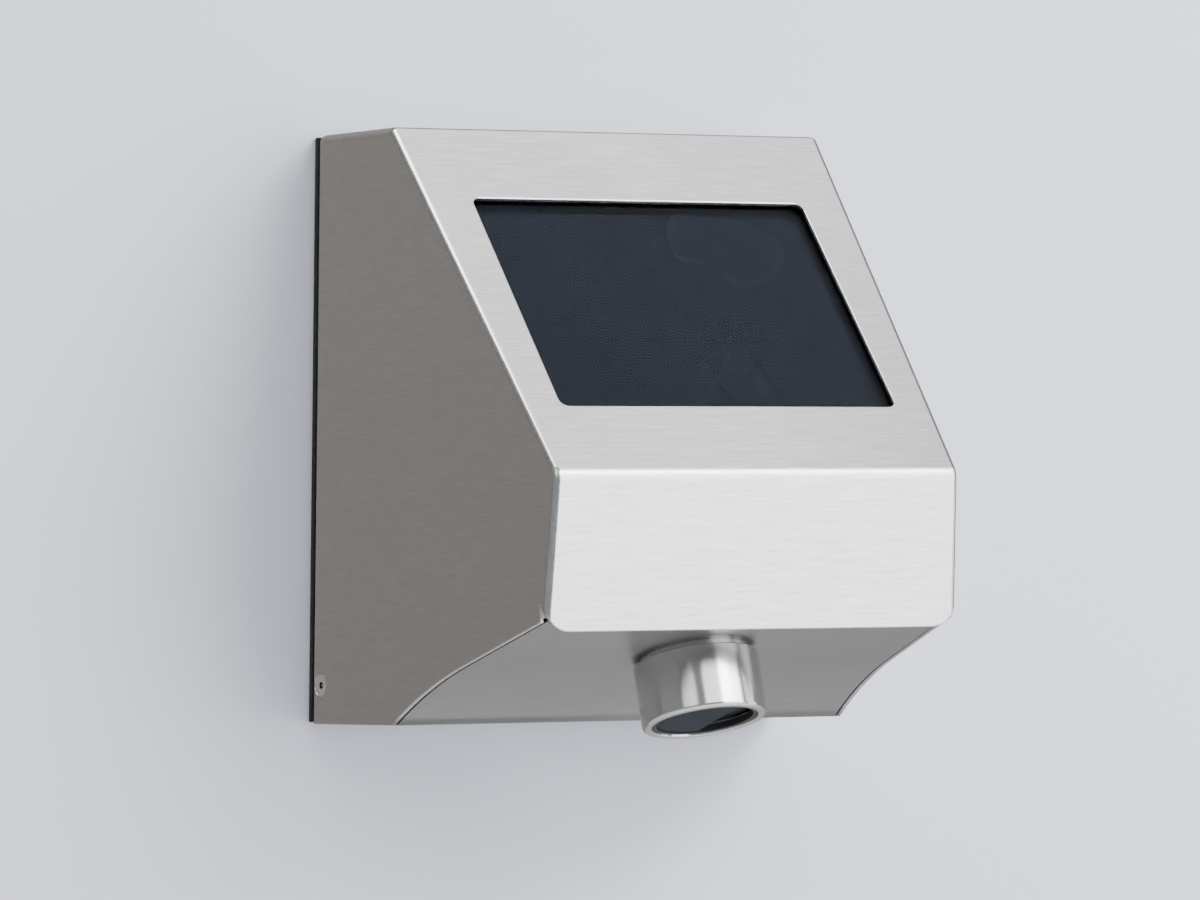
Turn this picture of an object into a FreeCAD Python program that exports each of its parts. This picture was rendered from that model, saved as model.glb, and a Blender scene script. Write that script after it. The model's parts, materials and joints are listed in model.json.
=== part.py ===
import FreeCAD, Part
import math
import os

import Sketcher
from FreeCAD import Placement, Rotation, Vector

# Wall-mounted ticket vending machine: a stainless hood with a touch display on its slope and a
# round ticket spout under its chin, hinged at the top over a wall plate that carries the works.
# Millimetres. X to the right, front towards -Y, Z up. The origin is the centre of the four wall
# fixing holes, on the wall face. "Depth" below is a distance out from the wall, and "height" is
# measured from the lower edge of the hood.

doc = FreeCAD.newDocument("TicketMachine")
X_AXIS = Vector(1, 0, 0)
Y_AXIS = Vector(0, 1, 0)
Z_AXIS = Vector(0, 0, 1)

SIZES = dict(
    # hood outline
    hood_height=260.0, mount_height=130.0, half_width=112.5, plan_draft=5.17, rise_draft=1.35,
    top_depth=65.5, fold_depth=200.0, fold_height=107.5, face_depth=192.2, face_height=40.3,
    seam_height=44.3, cove_depth=128.0, cove_height=25.7, floor_depth=71.0, hood_sheet=2.0,
    fold_radius=8.0, edge_radius=3.0, back_radius=3.5, corner_radius=12.0, lip_depth=3.5,
    # wall side
    gasket_thickness=2.7, gasket_width=8.0, gasket_inset=0.8, gasket_gap=0.6,
    plate_thickness=3.0, plate_margin=12.0, hole_spacing_x=150.0, hole_spacing_y=180.0,
    wall_hole_radius=3.25, cable_x=72.0, cable_height=62.0, cable_radius=11.0,
    # hinge
    hinge_depth=20.0, hinge_drop=6.2, pin_radius=2.0, knuckle_radius=3.8, pin_clearance=0.05,
    hinge_x=70.0, knuckle_width=8.0, ear_width=6.0, ear_gap=0.5, arm_drop=44.0, arm_thickness=5.0,
    # security screws
    screw_depth=11.2, screw_height=17.0, screw_radius=2.5, screw_head=5.2, screw_length=16.0,
    flange_gap=0.8, flange_sheet=2.0, flange_height=22.0, flange_reach=20.0, slot_play=0.6,
    nut_side=9.0, nut_thickness=4.0, nut_gap=0.6, socket_radius=1.5, socket_depth=1.9,
    head_sink=0.3, tamper_pin=0.5, screw_play=0.05,
    # display, along the slope
    window_drop=104.0, window_width=164.0, window_height=123.0, window_radius=4.0,
    seal_thickness=1.0, seal_lap=5.0, seal_reveal=0.8, glass_thickness=3.0, lcd_gap=0.2,
    lcd_thickness=5.8, tray_sheet=1.5, tray_lap=9.5, stud_radius=2.0, stud_margin=5.5,
    stud_rise=58.0, nut_radius=3.6, nut_height=3.2, standoff=6.0, standoff_radius=2.75,
    board_width=140.0, board_height=100.0, board_sheet=1.6, board_inset=5.0, hole_play=0.3,
    board_screw=2.75, board_screw_height=1.8, sink_width=40.0, sink_length=36.0, sink_base=1.5,
    fin_height=6.5, fin_pitch=6.4, fin_sheet=1.6, connector_width=14.0, connector_length=8.0,
    connector_height=6.0, connector_row=42.0,
    # underside panel
    panel_sheet=1.5, seam_gap=1.0, panel_flange=10.0, flange_clearance=0.3,
    # spout, along its own leaning axis from the mouth
    spout_depth=148.8, spout_height=0.3, spout_lean=16.66, collar_radius=27.25,
    collar_length=28.0, mouth_radius=23.0, mouth_round=1.6, tube_radius=24.3, tube_wall=2.0,
    tube_start=9.0, tube_end=42.0, collar_clearance=0.06, ledge_start=4.0, ledge_end=7.5,
    ledge_radius=22.2, ring_start=0.9, ring_radius=21.2, ring_clearance=0.05,
    guard_start=1.4, guard_thickness=2.0, guard_chord=7.0, flap_axis=5.4, flap_radius=20.5,
    flap_sheet=1.2, flap_pin_radius=0.75, flap_sleeve=1.4, flap_play=0.05, lug_width=3.0,
    spring_length=3.6, flap_gap=0.9,
    ring_section=0.95, chute_sheet=1.5, chute_mouth_x=54.0, chute_mouth_y=36.0, chute_throat=28.0,
    chute_top=66.0,
    # ticket roll and printer
    ticket_width=38.0, foot_reach=5.3, roll_radius=28.0, core_radius=8.5, core_bore=6.0, roll_depth=45.0,
    roll_height=185.0, spindle_clearance=0.06, side_gap=1.2, bracket_sheet=2.5,
    printer_depth=120.0, printer_height=99.0, frame_inner=25.0, frame_sheet=2.0,
    printer_arm=22.0, frame_back=98.0, frame_front=134.0, frame_base=90.0, frame_top=117.0,
    platen_radius=6.0, shaft_radius=2.5, bush_radius=5.0, bush_clearance=0.05, bush_length=4.0,
    head_gap=0.35, head_sheet=1.0, head_pivot_height=112.0, carrier_sheet=2.0,
    pivot_radius=1.5, carrier_sleeve=3.0, carrier_play=0.6, head_rise=5.0,
    cutter_base=84.0, blade_sheet=1.2, blade_overlap=3.0, blade_gap=3.0, blade_play=0.3,
    cutter_motor_width=24.0, cutter_motor_depth=16.0, cutter_motor_height=19.5,
    motor_side=25.0, motor_length=18.0, motor_shaft=1.5,
    coupling_radius=4.5, coupling_length=7.0, coupling_gap=2.0, post_radius=2.0, post_spread=9.5,
    # power, wiring and switch on the plate
    screw_shank=1.5, pan_head=3.0, pan_height=2.0,
    supply_inner=54.0, supply_width=46.0, supply_low=62.0, supply_high=152.0, supply_depth=32.0,
    ear_sheet=2.0, ear_length=9.0, ear_screw=5.0, ear_screw_in=6.0,
    terminal_inner=50.0, terminal_width=48.0, terminal_low=96.0, terminal_high=112.0,
    terminal_depth=15.0, well_radius=2.2, well_pitch=9.0, well_depth=6.0,
    earth_x=88.0, earth_height=136.0, earth_radius=2.5, earth_length=14.0, earth_nut=4.5,
    sensor_width=9.0, sensor_drop=28.0, sensor_height=12.0, sensor_lead=8.0,
    switch_x=70.0, switch_width=14.0, switch_low=14.0, switch_high=30.0, switch_depth=10.0,
    lip_stud=1.5, lip_nut=2.9, lip_nut_height=2.4, lip_stud_length=6.8, lip_stud_spread=60.0,
)

sheet = doc.addObject("Spreadsheet::Sheet", "Sizes")
for row, (alias, number) in enumerate(SIZES.items(), start=1):
    sheet.set("A%d" % row, alias)
    sheet.set("B%d" % row, str(number))
    sheet.setAlias("B%d" % row, alias)
doc.recompute()


class Size:
    """A length or an angle worked out from the sheet: its number now and its expression."""

    def __init__(self, number, text):
        self.number = number
        self.text = text

    def __add__(self, other):
        other = as_size(other)
        return Size(self.number + other.number, "(%s + %s)" % (self.text, other.text))

    def __sub__(self, other):
        other = as_size(other)
        return Size(self.number - other.number, "(%s - %s)" % (self.text, other.text))

    def __mul__(self, other):
        other = as_size(other)
        return Size(self.number * other.number, "(%s * %s)" % (self.text, other.text))

    def __truediv__(self, other):
        other = as_size(other)
        return Size(self.number / other.number, "(%s / %s)" % (self.text, other.text))

    def __neg__(self):
        return Size(-self.number, "(0 - %s)" % self.text)

    __radd__ = __add__

    def __rsub__(self, other):
        return as_size(other) - self

    __rmul__ = __mul__


def as_size(value):
    if isinstance(value, Size):
        return value
    return Size(float(value), repr(float(value)))


def sine(angle):
    angle = as_size(angle)
    return Size(math.sin(math.radians(angle.number)), "sin(%s)" % angle.text)


def cosine(angle):
    angle = as_size(angle)
    return Size(math.cos(math.radians(angle.number)), "cos(%s)" % angle.text)


def tangent(angle):
    angle = as_size(angle)
    return Size(math.tan(math.radians(angle.number)), "tan(%s)" % angle.text)


def arc_tangent(ratio):
    return Size(math.degrees(math.atan(ratio.number)), "(atan(%s) / 1 deg)" % ratio.text)


def root(value):
    return Size(math.sqrt(value.number), "sqrt(%s)" % value.text)


class Sheet:
    """The sheet's aliases as sizes, so that s.hood_height stands for that cell."""

    def __getattr__(self, alias):
        return Size(float(sheet.get(alias)), "Sizes." + alias)


s = Sheet()


def bind(thing, prop, size):
    thing.setExpression(prop, as_size(size).text)


def level(height):
    """Z of a height above the hood's lower edge."""
    return height - s.mount_height


def half(depth, height, inset=0):
    """Half the width between the cheeks' outer faces, less an inset."""
    return (s.half_width - depth * tangent(s.plan_draft)
            + (s.hood_height - height) * tangent(s.rise_draft) - inset)


class Frame:
    """A set of axes turned about X: the machine's own, the slope's or the spout's."""

    def __init__(self, y=0, z=0, angle=0):
        self.y = as_size(y)
        self.z = as_size(z)
        self.angle = as_size(angle)

    def place(self, thing, x, y, z, quarter=0):
        """Put a thing at a point of the frame, turned with it and by quarter degrees more."""
        across = y * cosine(self.angle) - z * sine(self.angle)
        along = y * sine(self.angle) + z * cosine(self.angle)
        turn = self.angle + quarter
        thing.Placement = Placement(Vector(), Rotation(X_AXIS, turn.number))
        bind(thing, "Placement.Base.x", x)
        bind(thing, "Placement.Base.y", self.y + across)
        bind(thing, "Placement.Base.z", self.z + along)
        if turn.number:
            bind(thing, "Placement.Rotation.Angle", turn)


MACHINE = Frame()
slope_run = s.fold_depth - s.top_depth
slope_fall = s.hood_height - s.fold_height
slope_tilt = arc_tangent(slope_fall / slope_run)
SLOPE = Frame(-(s.top_depth + s.window_drop * cosine(slope_tilt)),
              level(s.hood_height - s.window_drop * sine(slope_tilt)), slope_tilt)
SPOUT = Frame(-s.spout_depth, level(s.spout_height), -s.spout_lean)


def box(low, high, frame=MACHINE):
    """A block between two corners, each given as (x, y, z) in its frame."""
    block = doc.addObject("Part::Box", "Block")
    for prop, a, b in zip(("Length", "Width", "Height"), low, high):
        bind(block, prop, as_size(b) - a)
    frame.place(block, *[as_size(a) for a in low])
    return block


def rod(radius, start, length, frame=MACHINE, along="z"):
    """A cylinder from a start point, along one axis of its frame."""
    bar = doc.addObject("Part::Cylinder", "Rod")
    bind(bar, "Radius", radius)
    bind(bar, "Height", length)
    x, y, z = [as_size(a) for a in start]
    if along == "x":
        bar.Placement = Placement(Vector(), Rotation(Y_AXIS, 90))
        bind(bar, "Placement.Base.x", x)
        bind(bar, "Placement.Base.y", y)
        bind(bar, "Placement.Base.z", z)
    else:
        frame.place(bar, x, y, z, quarter=-90 if along == "y" else 0)
    return bar


def fuse(*things):
    joined = doc.addObject("Part::MultiFuse", "Joined")
    joined.Shapes = list(things)
    joined.Refine = True
    return joined


def cut(base, *tools):
    for tool in tools:
        less = doc.addObject("Part::Cut", "Less")
        less.Base = base
        less.Tool = tool
        base = less
    return base


def group(things):
    """Separate solids that share one node."""
    several = doc.addObject("Part::Compound", "Several")
    several.Links = things
    return several


pieces = []


def piece(name, thing):
    """Name a finished sub-part and list it for export."""
    thing.Label = name
    pieces.append(thing)
    return thing


# ---- Sketching ---------------------------------------------------------------------------

def new_body(name):
    return doc.addObject("PartDesign::Body", name)


def new_sketch(body, plane, offset=0):
    """A sketch on an origin plane of its body, moved along the plane's normal."""
    drawing = body.newObject("Sketcher::SketchObject", "Sketch")
    face = [f for f in body.Origin.OriginFeatures if f.Role == plane][0]
    drawing.AttachmentSupport = [(face, "")]
    drawing.MapMode = "FlatFace"
    bind(drawing, "AttachmentOffset.Base.z", offset)
    return drawing


def fix_point(drawing, edge, end, point):
    for kind, size in zip(("DistanceX", "DistanceY"), point):
        size = as_size(size)
        number = drawing.addConstraint(Sketcher.Constraint(kind, -1, 1, edge, end, size.number))
        drawing.setExpression("Constraints[%d]" % number, size.text)


def outline(drawing, corners, arcs=None):
    """Close a loop through the corners. arcs names the edges that are arcs, and for each the
    straight neighbour, -1 before it or 1 after it, that it leaves without a kink."""
    arcs = arcs or {}
    count = len(corners)
    spots = [Vector(as_size(a).number, as_size(b).number, 0) for a, b in corners]
    first = drawing.GeometryCount
    for i in range(count):
        here = spots[i]
        there = spots[(i + 1) % count]
        if i not in arcs:
            drawing.addGeometry(Part.LineSegment(here, there))
            continue
        if arcs[i] < 0:
            touch, far, way = here, there, here - spots[i - 1]
        else:
            touch, far, way = there, here, spots[(i + 2) % count] - there
        side = Vector(-way.y, way.x, 0).normalize()
        chord = far - touch
        radius = chord.dot(chord) / (2 * chord.dot(side))
        centre = touch + side * radius
        begin = math.atan2(here.y - centre.y, here.x - centre.x)
        finish = math.atan2(there.y - centre.y, there.x - centre.x)
        turn = (finish - begin) % (2 * math.pi)
        ends = (begin, finish) if turn < math.pi else (finish, begin)
        drawing.addGeometry(Part.ArcOfCircle(Part.Circle(centre, Z_AXIS, abs(radius)), *ends))

    def end_of(i, last):
        """The sketcher's number for an edge's start or end, which an arc may run backwards."""
        if i % count not in arcs:
            return 2 if last else 1
        start = drawing.Geometry[first + i % count].StartPoint
        forwards = start.distanceToPoint(spots[i % count]) < 0.001
        return (2 if last else 1) if forwards else (1 if last else 2)

    for i in range(count):
        nxt = (i + 1) % count
        smooth = (i in arcs and arcs[i] > 0) or (nxt in arcs and arcs[nxt] < 0)
        drawing.addConstraint(Sketcher.Constraint(
            "Tangent" if smooth else "Coincident",
            first + i, end_of(i, True), first + nxt, end_of(nxt, False)))
    for i in range(count):
        edge = i if i not in arcs else (i - 1) % count
        last = i in arcs
        fix_point(drawing, first + edge, end_of(edge, last), corners[i])


def circle(drawing, x, y, radius):
    x, y, radius = [as_size(a) for a in (x, y, radius)]
    edge = drawing.addGeometry(
        Part.Circle(Vector(x.number, y.number, 0), Z_AXIS, radius.number))
    fix_point(drawing, edge, 3, (x, y))
    number = drawing.addConstraint(Sketcher.Constraint("Radius", edge, radius.number))
    drawing.setExpression("Constraints[%d]" % number, radius.text)


def rounded(drawing, x0, y0, x1, y1, radius):
    """A rectangle with round corners, drawn as four lines and four quarter arcs."""
    x0, y0, x1, y1, radius = [as_size(a) for a in (x0, y0, x1, y1, radius)]
    outline(drawing, [(x0 + radius, y0), (x1 - radius, y0), (x1, y0 + radius), (x1, y1 - radius),
                      (x1 - radius, y1), (x0 + radius, y1), (x0, y1 - radius), (x0, y0 + radius)],
            {1: -1, 3: -1, 5: -1, 7: -1})


def rectangle(drawing, x0, y0, x1, y1):
    outline(drawing, [(x0, y0), (x1, y0), (x1, y1), (x0, y1)])


def pad(body, drawing, length, both=False, back=False):
    solid = body.newObject("PartDesign::Pad", "Pad")
    solid.Profile = drawing
    bind(solid, "Length", length)
    solid.SideType = "Symmetric" if both else "One side"
    solid.Reversed = back
    doc.recompute()
    return solid


def pocket(body, drawing, length=None, both=False, back=False):
    """Cut a sketch into the body, and stop if the cut took nothing away."""
    before = body.Shape.Volume
    hole = body.newObject("PartDesign::Pocket", "Pocket")
    hole.Profile = drawing
    if length is None:
        hole.Type = "ThroughAll"
    else:
        bind(hole, "Length", length)
    hole.SideType = "Symmetric" if both else "One side"
    hole.Reversed = back
    doc.recompute()
    if not body.Shape.Volume < before - 0.01:
        raise ValueError("a pocket in %s cuts nothing" % body.Name)
    return hole


def turned(name, corners, frame):
    """A body of revolution about its frame's Z; the corners are (radius, distance) pairs."""
    body = new_body(name)
    drawing = new_sketch(body, "XZ_Plane")
    outline(drawing, corners)
    spin = body.newObject("PartDesign::Revolution", "Revolution")
    spin.Profile = drawing
    spin.ReferenceAxis = (drawing, ["V_Axis"])
    spin.Angle = 360
    doc.recompute()
    frame.place(body, as_size(0), as_size(0), as_size(0))
    return body


def picked(shape, test):
    """Names of the edges whose two ends both pass a test on (x, depth, height)."""
    names = []
    for number, edge in enumerate(shape.Edges, start=1):
        ends = [v.Point for v in edge.Vertexes]
        spots = [(p.x, -p.y, p.z + s.mount_height.number) for p in ends]
        if len(spots) == 2 and all(test(*spot) for spot in spots):
            names.append("Edge%d" % number)
    return names


def rounding(body, edges, radius):
    tip = body.Tip
    soft = body.newObject("PartDesign::Fillet", "Fillet")
    soft.Base = (tip, edges)
    bind(soft, "Radius", radius)
    doc.recompute()
    return soft


# ---- Hood: one stainless sheet bent over the slope and the face, welded to two cheeks --------

hood_back = s.gasket_thickness + s.gasket_gap
seam_depth = s.face_depth - s.lip_depth
cove_slope = (s.seam_height - s.cove_height) / (seam_depth - s.cove_depth)
cove_angle = arc_tangent(cove_slope)
face_lean = (s.fold_depth - s.face_depth) / (s.fold_height - s.face_height)
face_angle = 90 + arc_tangent(face_lean)
MARGIN = 20


def cheek_cut(body, inset=0):
    """Plane both sides of the body to the cheeks: narrower to the front, wider to the bottom."""
    low = as_size(-MARGIN)
    high = s.hood_height + MARGIN
    for hand in (-1, 1):
        drawing = new_sketch(body, "XZ_Plane")
        outline(drawing, [(hand * half(0, low, inset), level(low)),
                          (hand * (s.half_width * 2), level(low)),
                          (hand * (s.half_width * 2), level(high)),
                          (hand * half(0, high, inset), level(high))])
        before = body.Shape.Volume
        side = body.newObject("PartDesign::Pocket", "Cheek")
        side.Profile = drawing
        side.UseCustomVector = True
        side.AlongSketchNormal = False
        side.Direction = Vector(hand * sine(s.plan_draft).number, cosine(s.plan_draft).number, 0)
        bind(side, "Direction.x", hand * sine(s.plan_draft))
        bind(side, "Direction.y", cosine(s.plan_draft))
        bind(side, "Length", s.fold_depth * 2)
        side.Reversed = True
        doc.recompute()
        if not body.Shape.Volume < before - 1:
            raise ValueError("the cheek cut in %s cuts nothing" % body.Name)


def side_pad(name, corners, arcs, inset=0):
    """A side outline of (depth, height) corners padded across and planed to the cheeks."""
    body = new_body(name)
    drawing = new_sketch(body, "YZ_Plane")
    outline(drawing, [(-as_size(d), level(as_size(a))) for d, a in corners], arcs)
    pad(body, drawing, s.half_width * 3, both=True)
    cheek_cut(body, inset)
    return body


def is_front_or_top(edge):
    """True for an edge that runs over the top, down the slope or down the face."""
    ends = [v.Point for v in edge.Vertexes]
    return abs(ends[0].x - ends[1].x) < 20 and not all(
        abs(-p.y - hood_back.number) < 0.1 for p in ends)


def hood():
    body = side_pad("HoodBody", [
        (hood_back, 0), (s.floor_depth, 0), (s.cove_depth, s.cove_height),
        (seam_depth, s.seam_height), (seam_depth, s.face_height),
        (s.face_depth, s.face_height), (s.fold_depth, s.fold_height),
        (s.top_depth, s.hood_height), (hood_back, s.hood_height)], {1: 1})
    near = 0.1
    for depth, height, radius in ((s.fold_depth, s.fold_height, s.fold_radius),
                                  (s.top_depth, s.hood_height, s.edge_radius),
                                  (hood_back, s.hood_height, s.back_radius)):
        rounding(body, picked(body.Shape, lambda x, d, a: abs(d - depth.number) < near
                              and abs(a - height.number) < near), radius)
    face_line = s.face_depth.number - near
    seam_line = s.seam_height.number + near

    def on_cheek(x, depth, height):
        flush = abs(abs(x) - half(as_size(depth), as_size(height)).number) < near
        return flush and (height > seam_line or depth > face_line) and depth > hood_back.number - near

    edges = [name for name in picked(body.Shape, on_cheek)
             if is_front_or_top(body.Shape.getElement(name))]
    rounding(body, edges, s.edge_radius)
    return body


def inset_corner(corner, before, after, depth):
    """The corner moved in by a depth from both its edges, given their angles below level."""
    ax, az = sine(before), cosine(before)
    bx, bz = sine(after), cosine(after)
    share = depth / (1 + (ax * bx + az * bz))
    return corner[0] - share * (ax + bx), corner[1] - share * (az + bz)


def hood_room():
    """What the hood's sheet encloses, open at the back and below."""
    fold = inset_corner((s.fold_depth, s.fold_height), slope_tilt, face_angle, s.hood_sheet)
    brow = inset_corner((s.top_depth, s.hood_height), as_size(0), slope_tilt, s.hood_sheet)
    low = as_size(-MARGIN)
    body = side_pad("HoodRoom", [
        (-MARGIN, low), (fold[0] - (fold[1] - low) * face_lean, low), fold, brow,
        (-MARGIN, brow[1])], {}, s.hood_sheet)
    fold_edge = picked(body.Shape, lambda x, d, a: abs(d - fold[0].number) < 0.1
                       and abs(a - fold[1].number) < 0.1)
    rounding(body, fold_edge, s.fold_radius - s.hood_sheet)
    return body


def window_tool():
    """The display window, as a short bar square to the slope."""
    body = new_body("WindowTool")
    window = new_sketch(body, "XY_Plane")
    rounded(window, -s.window_width / 2, -s.window_height / 2,
            s.window_width / 2, s.window_height / 2, s.window_radius)
    pad(body, window, s.hood_sheet * 4, both=True)
    SLOPE.place(body, as_size(0), as_size(0), as_size(0))
    return body


def corner_tool():
    """What the face sheet loses at its two lower corners, forward of its lip."""
    body = new_body("CornerTool")
    corners = new_sketch(body, "XZ_Plane", seam_depth)
    edge = half(s.face_depth, s.face_height)
    low = level(s.face_height)
    tail = edge - s.corner_radius - 4
    for hand in (-1, 1):
        outline(corners, [(hand * tail, low - 2), (hand * (edge + 2), low - 2),
                          (hand * (edge + 2), low + s.corner_radius),
                          (hand * edge, low + s.corner_radius),
                          (hand * (edge - s.corner_radius), low), (hand * tail, low)], {3: 1})
    pad(body, corners, MARGIN)
    return body


hood_skin = hood()
hood_blank = cut(hood_skin, hood_room(), window_tool(), corner_tool())


# ---- Security screws through the cheeks, square to them in plan --------------------------------

def cheek_things(make):
    """The same thing made for the left and the right cheek, turned to each cheek's draft."""
    made = []
    for hand in (-1, 1):
        thing = make(hand)
        turn = -hand * s.plan_draft
        thing.Placement = Placement(Vector(), Rotation(Z_AXIS, turn.number))
        bind(thing, "Placement.Base.x", hand * half(s.screw_depth, s.screw_height))
        bind(thing, "Placement.Base.y", -s.screw_depth)
        bind(thing, "Placement.Base.z", level(s.screw_height))
        bind(thing, "Placement.Rotation.Angle", turn)
        made.append(thing)
    return made


def spindle(name, hand, corners):
    """A turned thing on the inward X axis; the corners are (distance in, radius) pairs."""
    body = new_body(name)
    drawing = new_sketch(body, "XY_Plane")
    outline(drawing, [(-hand * as_size(d), r) for d, r in corners])
    spin = body.newObject("PartDesign::Revolution", "Revolution")
    spin.Profile = drawing
    spin.ReferenceAxis = (drawing, ["H_Axis"])
    spin.Angle = 360
    doc.recompute()
    return body


head_depth = s.screw_head - s.screw_radius + s.head_sink


def security_screw(hand):
    """Countersunk, with a socket and a tamper pin left standing in it."""
    floor = s.head_sink + s.socket_depth
    pin_top = s.head_sink + s.socket_depth / 5
    return spindle("SecurityScrew", hand, [
        (s.head_sink, s.socket_radius), (s.head_sink, s.screw_head), (head_depth, s.screw_radius),
        (s.screw_length, s.screw_radius), (s.screw_length, 0), (pin_top, 0),
        (pin_top, s.tamper_pin), (floor, s.tamper_pin), (floor, s.socket_radius)])


def screw_hole(hand):
    head = s.screw_head + s.screw_play
    shank = s.screw_radius + s.screw_play
    return spindle("ScrewHole", hand, [(-1, 0), (-1, head), (s.head_sink, head),
                                       (head_depth, shank), (s.screw_length, shank),
                                       (s.screw_length, 0)])


def clamp_nut(hand):
    start = s.hood_sheet + s.flange_gap + s.flange_sheet + s.nut_gap
    side = s.nut_side / 2
    body = new_body("ClampNut")
    drawing = new_sketch(body, "YZ_Plane", -hand * start)
    rectangle(drawing, -side, -side, side, side)
    circle(drawing, 0, 0, s.screw_radius)
    pad(body, drawing, s.nut_thickness, back=hand > 0)
    return body


piece("security_screws", group(cheek_things(security_screw)))
piece("clamp_nuts", group(cheek_things(clamp_nut)))
piece("hood_shell", cut(hood_blank, *cheek_things(screw_hole)))


# ---- Underside panel: a coved sheet between the cheeks, with a lip turned up behind the face ---

# where the seam's line, run on, meets the back of the face
face_back = s.face_depth - s.hood_sheet - s.flange_clearance
step_height = s.seam_height - s.face_height - seam_depth * cove_slope
panel_depth = (face_back + step_height * face_lean) / (1 - cove_slope * face_lean)
panel_front = (panel_depth, s.seam_height + (panel_depth - seam_depth) * cove_slope)


def underside_panel():
    thick = s.panel_sheet
    flat = cosine(cove_angle)
    rise = sine(cove_angle)
    low = panel_front
    lip_top = low[1] + s.panel_flange
    lip_far = low[0] + s.panel_flange * face_lean
    run, drop = s.cove_depth - s.floor_depth, s.cove_height
    radius = (run * run + drop * drop) / (2 * (drop * flat - run * rise))
    centre = (s.cove_depth + radius * rise, s.cove_height - radius * flat)
    reach = radius + thick
    climb = thick - centre[1]
    corners = [
        (hood_back, 0), (s.floor_depth, 0), (s.cove_depth, s.cove_height), low,
        (lip_far, lip_top), (lip_far - thick, lip_top),
        (low[0] - thick, low[1] - thick * cove_slope + thick / flat),
        (s.cove_depth - thick * rise, s.cove_height + thick * flat),
        (centre[0] - root(reach * reach - climb * climb), thick), (hood_back, thick)]
    return side_pad("UndersidePanel", corners, {1: 1, 7: -1}, s.hood_sheet + s.seam_gap)


spout_hole = rod(s.tube_radius + s.collar_clearance, (0, 0, s.tube_start),
                 s.tube_end - s.tube_start, SPOUT)
panel_blank = cut(underside_panel(), spout_hole)

STUD_XS = [step * s.lip_stud_spread for step in (-1, 0, 1)]
lip_middle = panel_front[1] + s.panel_flange / 2
lip_face = s.face_depth + (lip_middle - s.face_height) * face_lean - s.hood_sheet
WELD_GAP = 0.2


def lip_stud(x):
    """A stud welded inside the face, long enough for the panel's lip and its nut."""
    weld = -lip_face + WELD_GAP
    return rod(s.lip_stud, (x, weld, level(lip_middle)), s.lip_stud_length, along="y")


def lip_way(x, radius):
    return rod(radius, (x, -lip_face, level(lip_middle)), s.lip_stud_length + 2, along="y")


def lip_nut(x):
    seat = s.flange_clearance + s.panel_sheet + 2 * WELD_GAP
    nut = rod(s.lip_nut, (x, -lip_face + seat, level(lip_middle)), s.lip_nut_height, along="y")
    return cut(nut, lip_way(x, s.lip_stud))


piece("panel_studs", group([lip_stud(x) for x in STUD_XS]))
piece("panel_nuts", group([lip_nut(x) for x in STUD_XS]))
piece("underside_panel", cut(panel_blank, *[
    lip_way(x, s.lip_stud + s.hole_play) for x in STUD_XS]))


# ---- Hinge: a pin held in the hood's ears, turning in two gooseneck brackets -------------------

pin_height = s.hood_height - s.hinge_drop
pin_z = level(pin_height)
bracket_half = s.knuckle_width / 2
ear_start = bracket_half + s.ear_gap


def hinge_bracket(x):
    near = x - bracket_half
    far = x + bracket_half
    low = level(s.hood_height - s.arm_drop)
    root_y = -s.plate_thickness
    thick = s.arm_thickness
    foot = box((near, root_y - thick, low - 14), (far, root_y, low + thick))
    run = box((near, -s.hinge_depth - 3, low), (far, root_y, low + thick))
    upright = box((near, -s.hinge_depth - 3, low), (far, -s.hinge_depth + 3, pin_z))
    knuckle = rod(s.knuckle_radius, (near, -s.hinge_depth, pin_z), s.knuckle_width, along="x")
    bore = rod(s.pin_radius + s.pin_clearance, (near - 1, -s.hinge_depth, pin_z),
               s.knuckle_width + 2, along="x")
    return cut(fuse(foot, run, upright, knuckle), bore)


def hinge_ear(x):
    top = level(s.hood_height - s.hood_sheet)
    near = x
    far = x + s.ear_width
    block = box((near, -s.hinge_depth - 3.6, pin_z), (far, -s.hinge_depth + 3.6, top))
    knuckle = rod(3.6, (near, -s.hinge_depth, pin_z), s.ear_width, along="x")
    bore = rod(s.pin_radius, (near - 1, -s.hinge_depth, pin_z), s.ear_width + 2, along="x")
    return cut(fuse(block, knuckle), bore)


ear_places = []
for hand in (-1, 1):
    centre = hand * s.hinge_x
    ear_places += [centre - ear_start - s.ear_width, centre + ear_start]
pin_reach = s.hinge_x + ear_start + s.ear_width + 1
piece("hinge_brackets", group([hinge_bracket(hand * s.hinge_x) for hand in (-1, 1)]))
piece("hinge_ears", group([hinge_ear(x) for x in ear_places]))
piece("hinge_pin", rod(s.pin_radius, (-pin_reach, -s.hinge_depth, pin_z), 2 * pin_reach,
                       along="x"))


# ---- Wall side: plate, rim gasket, screw brackets, cable entry and power ----------------------

def wall_outline(drawing, margin, low, high):
    """The hood's own back outline, taken in by a margin all round."""
    outline(drawing, [(-half(0, low, margin), level(low)), (half(0, low, margin), level(low)),
                      (half(0, high, margin), level(high)), (-half(0, high, margin), level(high))])


def wall_gasket():
    body = new_body("WallGasket")
    drawing = new_sketch(body, "XZ_Plane")
    inner = s.gasket_inset + s.gasket_width
    wall_outline(drawing, s.gasket_inset, s.gasket_inset, s.hood_height - s.gasket_inset)
    wall_outline(drawing, inner, inner, s.hood_height - inner)
    pad(body, drawing, s.gasket_thickness)
    return body


WALL_HOLES = [(sx, sz) for sx in (-1, 1) for sz in (-1, 1)]


def wall_plate():
    body = new_body("WallPlate")
    drawing = new_sketch(body, "XZ_Plane")
    wall_outline(drawing, s.plate_margin, s.plate_margin, s.hood_height - s.plate_margin - 2)
    for sx, sz in WALL_HOLES:
        circle(drawing, sx * s.hole_spacing_x / 2, sz * s.hole_spacing_y / 2, s.wall_hole_radius)
    circle(drawing, s.cable_x, level(s.cable_height), s.cable_radius)
    pad(body, drawing, s.plate_thickness)
    return body


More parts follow.
